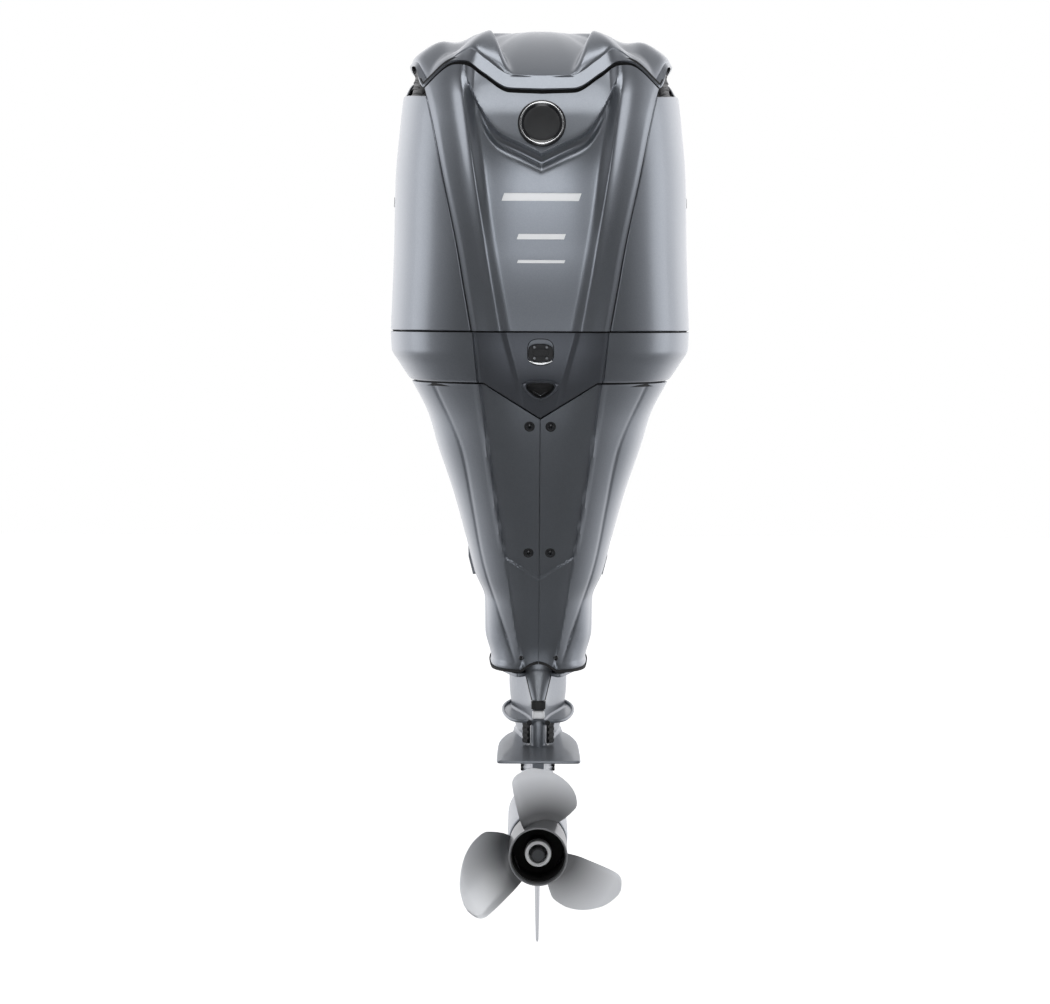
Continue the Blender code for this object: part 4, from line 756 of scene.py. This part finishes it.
def shield_relief(x, z):
    x = np.abs(x)
    raised = 0.0025 * smooth((shield_rib(z) - x) / 0.004)
    rib = 0.0012 * bump_at(x - shield_rib(z), 0.0035)
    return raised + rib - 0.0015 * (1 - smooth((shield_seam(z) - x) / 0.006))


def shield_y(x, z):
    return PAN.rear_y(x, np.maximum(z, 0.0)) - shield_relief(x, z)


def rounded(outline, passes):
    """Cuts the corners of a closed outline."""
    points = [Vector(p) for p in outline]
    for _ in range(passes):
        cut = []
        for here, there in zip(points, points[1:] + points[:1]):
            cut += [here.lerp(there, 0.22), here.lerp(there, 0.78)]
        points = cut
    return [tuple(p) for p in points]


def smooth_outline(half, passes=3):
    """A symmetric outline from its starboard half, its corners eased."""
    return rounded(half + [(-a, b) for a, b in half[::-1] if a > 1e-9], passes)


LATCH_WINDOW = smooth_outline([(0.014, 0.1925), (0.0265, 0.182), (0.0265, 0.15), (0.013, 0.1395)], 2)
OUTLET = smooth_outline([(0.0235, 0.1055), (0.0295, 0.0965), (0.015, 0.0815), (0.0, 0.0745)], 2)


def tray(name, outline, back):
    """An open box behind a window in the shield: side walls and a back."""
    bm = bmesh.new()
    near = [bm.verts.new((x, shield_y(x, z) + 0.003, z)) for x, z in outline]
    far = [bm.verts.new((x, back, z)) for x, z in outline]
    for k in range(len(outline)):
        m = (k + 1) % len(outline)
        bm.faces.new([near[k], near[m], far[m], far[k]])
    bm.faces.new(far)
    made = from_bmesh(name, bm)
    made.modifiers.new("wall", "SOLIDIFY").thickness = 0.0015
    return made


def rear_shield():
    """The dark V-shaped panel on the rear of the bottom cowl, with the latch pocket and the outlet."""
    f = np.linspace(-1, 1, 121)[None, :]
    b = np.linspace(0, 1, 101)[:, None]
    z = 0.15 + 0 * (b + f)
    for _ in range(8):
        x = f * shield_seam(z) * 0.988
        low = shield_bottom(x)
        z = low + b * (COWL_SEAM - 0.0004 - low)
    made = skin("rear_shield_skin", np.stack([x, shield_y(x, z), z], 2), 0.0045, 0)
    cut_by(made, *(plate(name, outline, -0.72, -0.6) for name, outline in
                   (("latch_cutter", LATCH_WINDOW), ("outlet_cutter", OUTLET))))
    soften(made, 0.001, 2, 50)
    dress(made, "steered_leg", DARK_PAINT, ("rear_shield",), 45)

    dress(tray("latch_pocket", LATCH_WINDOW, -0.64), "steered_leg", BLACK)
    dress(tray("outlet_throat", OUTLET, -0.605), "steered_leg", BLACK)


def latch():
    """The release lever in its pocket: a dark plate with four small screws and a bright curled lip."""
    y = shield_y(0.0, 0.167) + 0.0044
    outline = smooth_outline([(0.0125, 0.1816), (0.0245, 0.1755), (0.0245, 0.153), (0.012, 0.1475)], 2)
    face = plate("latch_lever_plate", outline, y - 0.002, y + 0.001)
    soften(face, 0.0007)
    dress(face, "rear_latch", BLACK, ("rear_latch_lever",))
    outline = smooth_outline([(0.015, 0.172), (0.015, 0.159)], 2)
    step = plate("latch_lever_step", outline, y - 0.0045, y - 0.0018)
    soften(step, 0.0008)
    dress(step, "rear_latch", BLACK)
    profile = [(0, 0), (0.0033, 0), (0.0033, 0.001), (0.0024, 0.0021), (0.0012, 0.0021),
               (0.001, 0.0012), (0, 0.0012)]
    screws = [turned("screw", profile, (x, y - 0.0018, z), (0, -1, 0), 24)
              for x in (-0.012, 0.012) for z in (0.154, 0.1755)]
    dress(joined(*screws), "rear_latch", DARK_STEEL).name = "latch_screws"
    rows = []
    for k in range(33):
        u = -1 + k / 16
        x = 0.0232 * u
        low = 0.1425 + 0.0058 * u * u
        thick = 0.0036 * (1 - 0.6 * abs(u) ** 3)
        front = shield_y(x, low) - 0.003 + 0.002 * u * u
        rows.append([(x, front + thick * (0.5 - 0.5 * math.cos(a)), low + thick * 0.75 * math.sin(a))
                     for a in circle(14)])
    lip = lofted("latch_lip", rows)
    dress(lip, "rear_latch", CHROME, (), 60)


def exhaust_outlet():
    """The frame round the outlet, with a heavier brow over it."""
    middle = 0.092

    def ring(scale, lift, brow=0.0):
        points = []
        for x, z in OUTLET:
            px, pz = x * scale, middle + (z - middle) * scale
            high = smooth((z - middle) / 0.01)
            pz += brow * high * 0.5
            points.append((px, shield_y(px, pz) - lift - brow * high, pz))
        return points

    rows = [ring(1.34, -0.0008), ring(1.3, 0.0012), ring(1.2, 0.006, 0.003), ring(1.09, 0.0072, 0.005),
            ring(1.02, 0.0055, 0.004), ring(0.97, -0.004), ring(0.95, -0.012)]
    made = skin("outlet_frame", rows, 0.0012, 0, True)
    dress(made, "steered_leg", DARK_PAINT, ("exhaust_outlet_bezel",), 50)
    lip = []
    for k in range(25):
        u = -1 + k / 12
        x = 0.013 * u
        z = 0.08 + 0.008 * abs(u)
        y = shield_y(x, z) + 0.0035
        lip.append([(x, y + 0.0012 * math.cos(a), z + 0.0012 * math.sin(a)) for a in circle(10)])
    dress(lofted("outlet_lip", lip), "steered_leg", CHROME, (), 60)


def rocker():
    """The tilt rocker on the pan's side, with a waist between its two pads."""
    low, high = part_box("tilt_switch")
    made = box("tilt_rocker_button", (low[0] + 0.0004, low[1], low[2]), (high[0] + 0.0012, high[1], high[2]))
    bm = bmesh.new()
    bm.from_mesh(made.data)
    bmesh.ops.subdivide_edges(bm, edges=bm.edges[:], cuts=7, use_grid_fill=True)
    middle = (low[2] + high[2]) / 2
    for v in bm.verts:
        if v.co.x > low[0] + 0.005:
            v.co.x -= 0.0016 * bump_at(v.co.z - middle, 0.004)
    bm.to_mesh(made.data)
    bm.free()
    soften(made, 0.0008, 3)
    dress(made, "tilt_rocker", BLACK, ("tilt_switch",))


# ---------------------------------------------------------------- leg
def apron_low(x):
    """The apron's lower edge, arched up at the rear centre."""
    return APRON_BOTTOM + 0.018 * np.cos(np.clip(np.abs(x) / 0.036, 0, 1) * np.pi / 2)


def apron_grid(side, rows, columns, band=None, proud=0.0):
    """Points of one apron half, or only of a band of heights measured from its lower edge."""
    f = np.linspace(0, 1, columns)[None, :]
    b = np.linspace(0, 1, rows)[:, None]
    levels = np.linspace(APRON.low, APRON.high, 30)
    ends = []
    for level in levels:
        x, y, run = APRON.half(level)
        k = int(np.argmax(x))
        ends.append(float(np.interp(-0.2, y[k:], run[k:])) if y[k] < -0.2 else float(run[k]))
    z = 0 * (b + f)
    for _ in range(6):
        end = np.interp(z, levels, ends)
        x, y = APRON.at(z, 0.0007 + (end - 0.0007) * f)
        top = np.where(y < -0.45, np.minimum(APRON_TOP, shield_bottom(x) - 0.0035), APRON_TOP)
        low = np.where(y < -0.4, apron_low(x), APRON_BOTTOM) + 0.012 * smooth((y + 0.4) / 0.1)
        if band:
            z = low + band[0] + b * (band[1] - band[0])
        else:
            z = low + b * (top - low)
    rear = smooth((-0.36 - y) / 0.05)
    y = y - apron_relief(x, z) * rear
    flare = 0.0035 * smooth((-0.476 - z) / 0.008) * smooth((np.abs(x) - 0.03) / 0.01)
    x = x + (flare + proud) * np.abs(x) / 0.1
    y = y - (0.6 * flare + proud) * rear
    return np.stack([side * x, y, z], 2)


def apron(side, suffix):
    made = skin("apron_skin_" + suffix, apron_grid(side, 180, 120), 0.004, 0.001)
    dress(made, "steered_leg", PAINT, ("apron_" + suffix,))
    trim = apron_grid(side, 5, 120, (-0.0058, -0.0002), 0.0022)
    dress(skin("apron_trim_" + suffix, trim, 0.007), "steered_leg", RUBBER)


def apron_spot(x, z):
    return Vector((x, float(APRON.rear_y(x, z) - apron_relief(x, z)), z))


def apron_screws():
    cup = [(0, -0.0004), (0.01, -0.0004), (0.0104, 0.0004), (0.0092, 0.001), (0.008, 0.0004), (0, 0.0002)]
    head = [(0, 0.0001), (0.0062, 0.0001), (0.006, 0.0018), (0.0045, 0.003), (0.0026, 0.0033),
            (0.0022, 0.0014), (0, 0.0014)]
    places = ((-0.021, 0.018), (0.021, 0.018), (-0.022, -0.241), (0.022, -0.241))
    for number, (x, z) in enumerate(places, 1):
        lean = float(APRON.rear(z + 0.01) - APRON.rear(z - 0.01)) / 0.02
        spot, out = apron_spot(x, z), (0, -1, lean)
        dress(turned(f"screw_cup_{number}", cup, spot, out, 48), "steered_leg", BLACK)
        screw = turned(f"button_screw_{number}", head, spot, out, 32)
        dress(screw, "steered_leg", GLOSS_BLACK, (f"apron_screw_{number}",), 50)
    eye = [(0, 0), (0.005, 0), (0.005, 0.0015), (0.0036, 0.0026), (0, 0.0028)]
    eyes = [turned("eye", eye, apron_spot(side * 0.0355, -0.465), (side * 0.4, -1, 0), 24)
            for side in (-1, 1)]
    dress(joined(*eyes), "steered_leg", GLOSS_BLACK).name = "apron_lower_screws"


strut_half = curve((-0.8, 0.034), (-0.7, 0.034), (-0.655, 0.042), (-0.6, 0.055), (-0.54, 0.061),
                   (-0.49, 0.061))
strut_nose = curve((-0.8, -0.172), (-0.7, -0.17), (-0.6, -0.165), (-0.49, -0.165))
strut_tail = curve((-0.8, -0.49), (-0.7, -0.5), (-0.6, -0.5), (-0.49, -0.45))


def flare(z):
    """A cast fillet where the strut meets each plate."""
    total = 0.0
    for level, radius in ((-0.5045, 0.005), (SPLASH_PLATE + 0.005, 0.006), (SPLASH_PLATE, 0.006),
                          (VENTILATION_PLATE + 0.006, 0.008), (VENTILATION_PLATE, 0.012)):
        d = abs(z - level)
        if d < radius:
            total = max(total, radius * (1 - math.sqrt(1 - (1 - d / radius) ** 2)))
    return total


def strut_section(z, count=40):
    """A section of the gearcase strut: rounded nose, widest forward of the middle, blunt tail."""
    grow = flare(z)
    half, nose, tail = strut_half(z), strut_nose(z), strut_tail(z)
    side = []
    for k in range(count + 1):
        t = (k / count) ** 1.6
        if t <= 0.32:
            full = half * math.sqrt(max(0.0, 1 - (1 - t / 0.32) ** 2))
        else:
            full = half + (0.014 - half) * smooth((t - 0.32) / 0.68)
        edge = smooth((1 - t) / 0.015)
        side.append((full * (0.82 + 0.18 * edge) + grow * min(1.0, t / 0.05), nose + (tail - nose) * t))
    side[-1] = (side[-1][0], side[-1][1] - grow)
    return [(x, y, z) for x, y in side] + [(-x, y, z) for x, y in side[::-1] if x > 1e-6]


SPLASH_OUTLINE = [(0, -0.185), (0.05, -0.215), (0.073, -0.3), (0.073, -0.4), (0.05, -0.485), (0, -0.49)]


def gearcase():
    levels = np.unique(np.concatenate([
        np.linspace(LOWER_TOP, -0.8105, 90),
        np.linspace(SPLASH_PLATE - 0.006, SPLASH_PLATE + 0.011, 14),
        np.linspace(VENTILATION_PLATE - 0.012, VENTILATION_PLATE + 0.014, 20),
    ]))
    strut = lofted("gearcase_strut", [strut_section(float(z)) for z in levels])
    dress(strut, "steered_leg", LEG_PAINT, ("gearcase",), 50)

    flange = [(0, -0.168), (0.055, -0.18), (0.092, -0.22), (0.1, -0.27), (0.085, -0.36),
              (0.05, -0.47), (0.034, -0.474), (0, -0.405)]
    vent = [(0, -0.235), (0.02, -0.244), (0.046, -0.288), (0.067, -0.345), (0.0795, -0.42),
            (0.083, -0.48), (0.0838, -0.6), (0.0838, -0.648), (0.0815, -0.657), (0.076, -0.66), (0, -0.66)]
    for name, outline, low, high, width in (
        ("gearcase_flange", smooth_outline(flange), LOWER_TOP - 0.009, LOWER_TOP - 0.0012, 0.002),
        ("splash_plate", smooth_outline(SPLASH_OUTLINE), SPLASH_PLATE, SPLASH_PLATE + 0.005, 0.002),
        ("ventilation_plate", smooth_outline(vent, 2), VENTILATION_PLATE, VENTILATION_PLATE + 0.006, 0.0025),
    ):
        made = soften(plate(name, outline, low, high, "Z"), width, 3)
        dress(made, "steered_leg", LEG_PAINT, (), 50)

    outer = curve((0, 0.0), (0.002, 0.01), (0.006, 0.018), (0.022, 0.036), (0.045, 0.05), (0.075, 0.059),
                  (0.11, 0.0625), (0.3, 0.0625), (0.393, 0.06))
    heights = [0.393 * (k / 48) ** 1.7 for k in range(1, 49)]
    profile = [(0, 0)] + [(outer(h), h) for h in heights]
    profile += [(0.0585, 0.3945), (0.053, 0.394), (0.0525, 0.3), (0, 0.3)]
    bullet = turned("gearcase_bullet", profile, (0, -0.115, SHAFT_Z), (0, -1, 0), 96)
    dress(bullet, "steered_leg", LEG_PAINT, (), 50)

    fore = curve((-0.87, -0.225), (-0.96, -0.3), (-1.03, -0.358), (SKEG_BOTTOM, -0.4))
    aft = curve((-0.87, -0.472), (-0.96, -0.468), (-1.03, -0.474), (SKEG_BOTTOM, -0.47))
    half = curve((-0.87, 0.0095), (-0.96, 0.0055), (-1.03, 0.004), (SKEG_BOTTOM, 0.003))
    rings = []
    for z in np.linspace(-0.875, SKEG_BOTTOM, 50):
        front, back, w = fore(z), aft(z), half(z)
        w += 0.01 * bump_at(z + 0.888, 0.012)
        round_off = 0.01 * smooth((SKEG_BOTTOM + 0.015 - z) / 0.015) ** 2
        front, back = front - round_off, back + round_off
        side = [(w * math.sin(math.pi * (k / 24) ** 0.8) ** 0.7 if 0 < k < 24 else 0.0,
                 front + (back - front) * k / 24) for k in range(25)]
        rings.append([(x, y, z) for x, y in side] + [(-x, y, z) for x, y in side[1:-1][::-1]])
    dress(lofted("skeg", rings), "steered_leg", LEG_PAINT, (), 60)

    for sign, suffix in SIDES:
        x = sign * 0.033
        made = joined(*[box("inlet", (x - 0.003, -0.345, z), (x + 0.003, -0.285, z + 0.0042))
                        for z in np.linspace(-0.722, -0.686, 5)])
        made.name = "water_inlet_" + suffix
        dress(made, "steered_leg", BLACK)


def tail_skin(name, low, high, half_low, half_high, proud, finish, curl=0.01):
    """A narrow cover that wraps the strut's tail between two heights."""
    z = np.linspace(high, low, 24)[:, None]
    u = np.linspace(-1, 1, 25)[None, :]
    x = u * (half_high + (half_low - half_high) * (high - z) / (high - low))
    y = strut_tail(np.maximum(z, -0.8)) - proud + curl * np.abs(u) ** 2.5 + 0 * x
    made = skin(name, np.stack([x, y, z + 0 * u], 2), 0.003, 0.0009)
    return dress(made, "steered_leg", finish)


def leg_rear_details():
    """The narrow cover, the band, bar and screws on the gearcase's tail, and the drain grilles beside it."""
    tail_skin("tail_cover_edge", -0.551, -0.472, 0.015, 0.0355, 0.007, BLACK)
    tail_skin("tail_cover", -0.55, -0.472, 0.0132, 0.033, 0.0095, LEG_PAINT)
    tail_skin("tail_band", -0.567, -0.5515, 0.013, 0.0135, 0.008, BLACK, 0.004)
    bar = box("tail_bar", (-0.0125, -0.509, -0.5855), (0.0125, -0.48, -0.5695))
    soften(bar, 0.004, 4)
    dress(bar, "steered_leg", BRIGHT_ALLOY)
    tail_skin("tail_strip", -0.644, -0.588, 0.0105, 0.012, 0.004, LEG_PAINT, 0.003)
    heads = [turned("head", [(0, 0), (0.0056, 0), (0.0056, 0.003), (0.0042, 0.0048), (0, 0.0052)],
                    (side * 0.0185, -0.502, -0.594), (side * 0.3, -1, 0), 24) for side in (-1, 1)]
    dress(joined(*heads), "steered_leg", BLACK).name = "tail_screws"
    for sign, suffix in SIDES:
        turn = Matrix.Rotation(sign * math.radians(50), 4, "Z")
        pieces = [box("louvre", (-0.008, -0.0035, low), (0.008, 0.001, low + 0.0062))
                  for low in (-0.6385, -0.6268, -0.6151, -0.6034)]
        pieces.append(box("backing", (-0.0095, -0.001, -0.641), (0.0095, 0.003, -0.5935)))
        made = joined(*pieces)
        made.name = "drain_grille_" + suffix
        made.data.transform(Matrix.Translation((sign * 0.025, -0.4705, 0)) @ turn)
        dress(made, "steered_leg", BLACK)


def plate_beads():
    """Rounded beads along the edge of the splash plate."""
    outline = smooth_outline(SPLASH_OUTLINE)
    bm = bmesh.new()
    rows = []
    count = len(outline)
    for k in range(count):
        here, after, before = (Vector(outline[j % count]) for j in (k, k + 1, k - 1))
        along = (after - before).normalized()
        across = Vector((along.y, -along.x))
        rise = 0.004 * smooth((here.y + 0.47) / 0.1)
        middle = Vector((*here, SPLASH_PLATE + 0.003 + rise))
        rows.append([bm.verts.new(middle + Vector((*(across * 0.0032 * math.cos(a)), 0.0038 * math.sin(a))))
                     for a in circle(12)])
    for k in range(count):
        for j in range(12):
            m, n = (j + 1) % 12, (k + 1) % count
            bm.faces.new([rows[k][j], rows[k][m], rows[n][m], rows[n][j]])
    dress(from_bmesh("splash_plate_bead", bm), "steered_leg", LEG_PAINT, (), 80)


# ---------------------------------------------------------------- propeller
blade_trail = curve((0.311, 121), (0.42, 118.5), (0.6, 114), (0.72, 112), (0.82, 110.5), (0.9, 109),
                    (0.96, 105.5), (1.0, 98))
blade_lead = curve((0.311, 46), (0.42, 43.5), (0.6, 45), (0.72, 53), (0.82, 63.5), (0.9, 74.5),
                   (0.96, 84), (1.0, 94))


def blade(number):
    """One right-handed blade with a cupped trailing edge and a fillet at its root."""
    turn = number * 2 * math.pi / 3
    rows = []
    for share in np.linspace(0, 1, 49):
        fraction = 0.311 + 0.689 * (1 - (1 - share) ** 1.4)
        r = PROP_R * fraction
        trail, lead = blade_trail(fraction), blade_lead(fraction)
        thick = 0.01 - 0.0075 * fraction + 0.006 * bump_at(r - HUB_R, 0.007)
        front, rear = [], []
        for u in np.linspace(0, 1, 31):
            degrees = trail + (lead - trail) * u
            a = math.radians(degrees) + turn
            y = PROP_Y - RAKE * (r - HUB_R) - (degrees - 90) / 360 * PROP_PITCH
            body = thick * (0.14 + 0.86 * (4 * u * (1 - u)) ** 0.6) / 2
            cup = -0.0035 * smooth((0.1 - u) / 0.1) * smooth((fraction - 0.45) / 0.2)
            x, z = r * math.cos(a), SHAFT_Z + r * math.sin(a)
            front.append((x, y + body + cup, z))
            rear.append((x, y - body + cup, z))
        rows.append(front + rear[::-1])
    made = lofted(f"propeller_blade_{number + 1}", rows)
    soften(made, 0.0006, 2, 60)
    return dress(made, "prop", PROP_STEEL, (), 55)


def on_shaft(name, y, finish, profile, replaced=(), sides=96):
    """A turned piece of the propeller, its profile measured aft from y along the shaft."""
    dress(turned(name, profile, (0, y, SHAFT_Z), (0, -1, 0), sides), "prop", finish, replaced, 40)


def propeller():
    for number in range(3):
        blade(number)
    on_shaft("propeller_hub", -0.5125, PROP_STEEL, [
        (0.0535, 0.000), (0.056, 0.000), (0.057, 0.0015), (0.0582, 0.015), (0.059, 0.03), (0.0588, 0.06),
        (0.0583, 0.085), (0.0578, 0.11), (0.0576, 0.124), (0.058, 0.133), (0.059, 0.1405), (0.0592, 0.1425),
        (0.0585, 0.1436), (0.0566, 0.1436), (0.0556, 0.1425), (0.054, 0.132), (0.0535, 0.11), (0.0535, 0.06),
    ], ("propeller",), 128)
    # painted shade: the bore's pieces are near-black, and the lining and the disc are dark sheets that stand
    # only for the shade inside the hub
    on_shaft("hub_shade_lining", -0.5125, BORE_SHADE, [(0.0533, 0.002), (0.0533, 0.128), (0.0522, 0.128), (0.0522, 0.002)])
    on_shaft("hub_core", -0.515, BORE_SHADE, [(0.0156, 0), (0.0265, 0), (0.027, 0.08), (0.0262, 0.085),
                                         (0.024, 0.0862), (0.0156, 0.085)])
    ribs = []
    for degrees in (-30, -150, -270):
        rib = box("rib", (0.024, -0.566, -0.0028), (0.053, -0.52, 0.0028))
        turn = Matrix.Rotation(math.radians(degrees), 4, "Y")
        rib.data.transform(Matrix.Translation((0, 0, SHAFT_Z)) @ turn)
        ribs.append(rib)
    dress(joined(*ribs), "prop", BORE_SHADE).name = "hub_ribs"
    on_shaft("hub_shade_disc", -0.567, BORE_SHADE, [(0.0262, 0), (0.052, 0), (0.052, 0.002), (0.0262, 0.002)])
    on_shaft("hub_washer", -0.6008, BRIGHT_ALLOY, [
        (0.0184, 0), (0.0262, 0), (0.027, 0.01), (0.0268, 0.0245), (0.0256, 0.0272), (0.0225, 0.0284),
        (0.0195, 0.0272), (0.0184, 0.024),
    ])
    refined("propeller_nut", "prop", OILED_STEEL, 0.001)
    refined("propeller_shaft", "prop", OILED_STEEL, 0.002)


# ---------------------------------------------------------------- pieces that keep their CAD shape
REFINED = (
    ("transom_bracket", BRACKET_PAINT, 0.0016, ("clamp_bracket_port", "clamp_bracket_starboard",
                                                "trim_unit_housing")),
    ("transom_bracket", STEEL, 0.0008, ("tilt_tube", "lower_cross_pin")),
    ("transom_bracket", BLACK, 0.0012, ("trim_pump_motor",)),
    ("transom_bracket", ZINC, 0.0012, ("bracket_anode",)),
    ("tilt_ram_cylinder", BRACKET_PAINT, 0.001, ("tilt_cylinder",)),
    ("tilt_ram", STEEL, 0.0006, ("tilt_ram_rod", "ram_upper_pin")),
    ("trim_rod_port", STEEL, 0.001, ("trim_ram_port",)),
    ("trim_rod_starboard", STEEL, 0.001, ("trim_ram_starboard",)),
    ("swivel", BRACKET_PAINT, 0.0016, ("swivel_bracket",)),
    ("support_lever", STEEL, 0.0008, ("tilt_support_lever",)),
    ("steered_leg", STEEL, 0.001, ("steering_arm", "lower_yoke", "bearing_carrier")),
    ("steered_leg", RUBBER, 0.001, ("mount_rubber_lower_port", "mount_rubber_lower_starboard", "cowl_seal")),
    ("steered_leg", LEG_PAINT, 0.001, ("midsection_housing",)),
    ("steered_leg", CAST, 0.0012, ("cylinder_block", "cylinder_head_port", "cylinder_head_starboard",
                                   "exhaust_guide_plate")),
    ("steered_leg", BLACK, 0.0012, ("intake_manifold", "starter_motor", "oil_filter", "engine_control_unit",
                                    "water_pump_housing")),
    ("crank_train", STEEL, 0.0006, ("crankshaft", "flywheel", "driveshaft", "pinion_gear")),
    ("crank_train", RUBBER, 0.0004, ("water_pump_impeller",)),
    ("forward_gear_body", STEEL, 0.0003, ("forward_gear",)),
    ("reverse_gear_body", STEEL, 0.0003, ("reverse_gear",)),
    ("clutch", STEEL, 0.0004, ("dog_clutch",)),
    ("shifter", STEEL, 0.0005, ("shift_rod",)),
)


# ---------------------------------------------------------------- stage
def floor():
    slab = box("studio_floor", (-9, -9, FLOOR_Z - 0.02), (9, 9, FLOOR_Z))
    made = bpy.data.materials.new("pale_floor")
    graph = Graph(made)
    graph.feed(graph.nodes["Principled BSDF"], Base_Color=(0.75, 0.75, 0.76, 1), Roughness=0.9,
               Emission_Color=(1, 1, 1, 1), Emission_Strength=0.8)
    slab.data.materials.append(made)
    slab.visible_glossy = False


def studio_walls():
    """Plain white to the camera, and soft grey bands with a low bright patch for the light."""
    world = bpy.data.worlds.new("studio")
    bpy.context.scene.world = world
    graph = Graph(world)
    graph.nodes.clear()
    parts = graph.add("SeparateXYZ", graph.add("TexCoord").outputs["Generated"]).outputs
    by_depth = graph.grey_ramp(graph.remap(parts["Y"], 0, 1, -1, 1), (0.0, 0.03), (0.08, 0.035), (0.18, 0.11),
                               (0.33, 0.28), (0.53, 0.4), (0.75, 0.84), (0.9, 1.15), (1.0, 1.05))
    by_height = graph.grey_ramp(graph.remap(parts["Z"], 0, 1, -1, 1), (0.22, 0.25), (0.44, 0.95), (0.62, 1.0),
                                (0.76, 0.55), (0.88, 0.32), (1.0, 0.28))
    size_of_x = graph.add("Math", parts["X"], operation="ABSOLUTE").outputs[0]
    glow = 1.0
    for source, start, end in ((size_of_x, 0.3, 0.05), (parts["Z"], -0.4, -0.22),
                               (parts["Z"], 0.16, -0.04), (parts["Y"], -0.5, -0.8)):
        window = graph.add("MapRange", Value=source, From_Min=start, From_Max=end)
        window.interpolation_type = "SMOOTHSTEP"
        glow = graph.add("Math", glow, window.outputs["Result"], operation="MULTIPLY").outputs[0]
    patch = graph.add("VectorMath", glow, (1.8, 1.83, 1.88), by_depth, operation="MULTIPLY_ADD")
    shaded = graph.add("VectorMath", patch.outputs["Vector"], operation="SCALE", Scale=by_height)
    lit = graph.add("Background", shaded.outputs["Vector"], 1.4)
    seen = graph.add("Background", (1.0, 1.0, 1.0, 1), 1.0)
    ray = graph.add("LightPath").outputs["Is Camera Ray"]
    blend = graph.add("MixShader", ray, lit.outputs["Background"], seen.outputs["Background"])
    graph.add("OutputWorld", blend.outputs["Shader"])


def soft_light(name, at, target, size, energy):
    data = bpy.data.lights.new(name, "AREA")
    data.shape = "RECTANGLE"
    data.size, data.size_y = size
    data.energy = energy
    lamp = linked(name, data)
    lamp.location = at
    lamp.rotation_euler = (Vector(target) - Vector(at)).to_track_quat("-Z", "Y").to_euler()


def studio():
    floor()
    studio_walls()
    soft_light("top_softbox", (0, -0.9, 3.6), (0, -0.4, 0.3), (2.4, 1.6), 30)
    soft_light("high_rear_softbox", (0, -3.6, 3.6), (0, -0.6, 0.5), (2.6, 1.5), 32)
    for side, suffix in SIDES:
        soft_light("side_softbox_" + suffix, (side * 3.2, 0.2, 0.3), (0, -0.3, -0.1), (1.6, 2.6), 12)
    soft_light("rear_fill", (0, -8.5, 0.55), (0, -0.4, 0.4), (1.2, 1.4), 12)

    data = bpy.data.cameras.new("camera")
    data.sensor_width = 36
    data.lens = CAMERA_LENS
    data.clip_end = 60
    camera = linked("camera", data)
    camera.location = CAMERA_AT
    pitch = Matrix.Rotation(math.radians(90 + CAMERA_PITCH), 4, "X")
    camera.rotation_euler = (pitch @ Matrix.Rotation(math.radians(CAMERA_ROLL), 4, "Z")).to_euler()
    bpy.context.scene.camera = camera
    bpy.context.scene.view_settings.view_transform = "Standard"


# ---------------------------------------------------------------- making
studio()
cowl_shell()
cowl_rear_panel()
cowl_top_cap()
for side, suffix in SIDES:
    air_intake(side, suffix)
emblem()
stripes()
bottom_cowl()
apron_seal()
rear_shield()
latch()
exhaust_outlet()
rocker()
for side, suffix in SIDES:
    apron(side, suffix)
apron_screws()
gearcase()
leg_rear_details()
plate_beads()
propeller()
for body, finish, edge, members in REFINED:
    for node in members:
        refined(node, body, finish, edge)
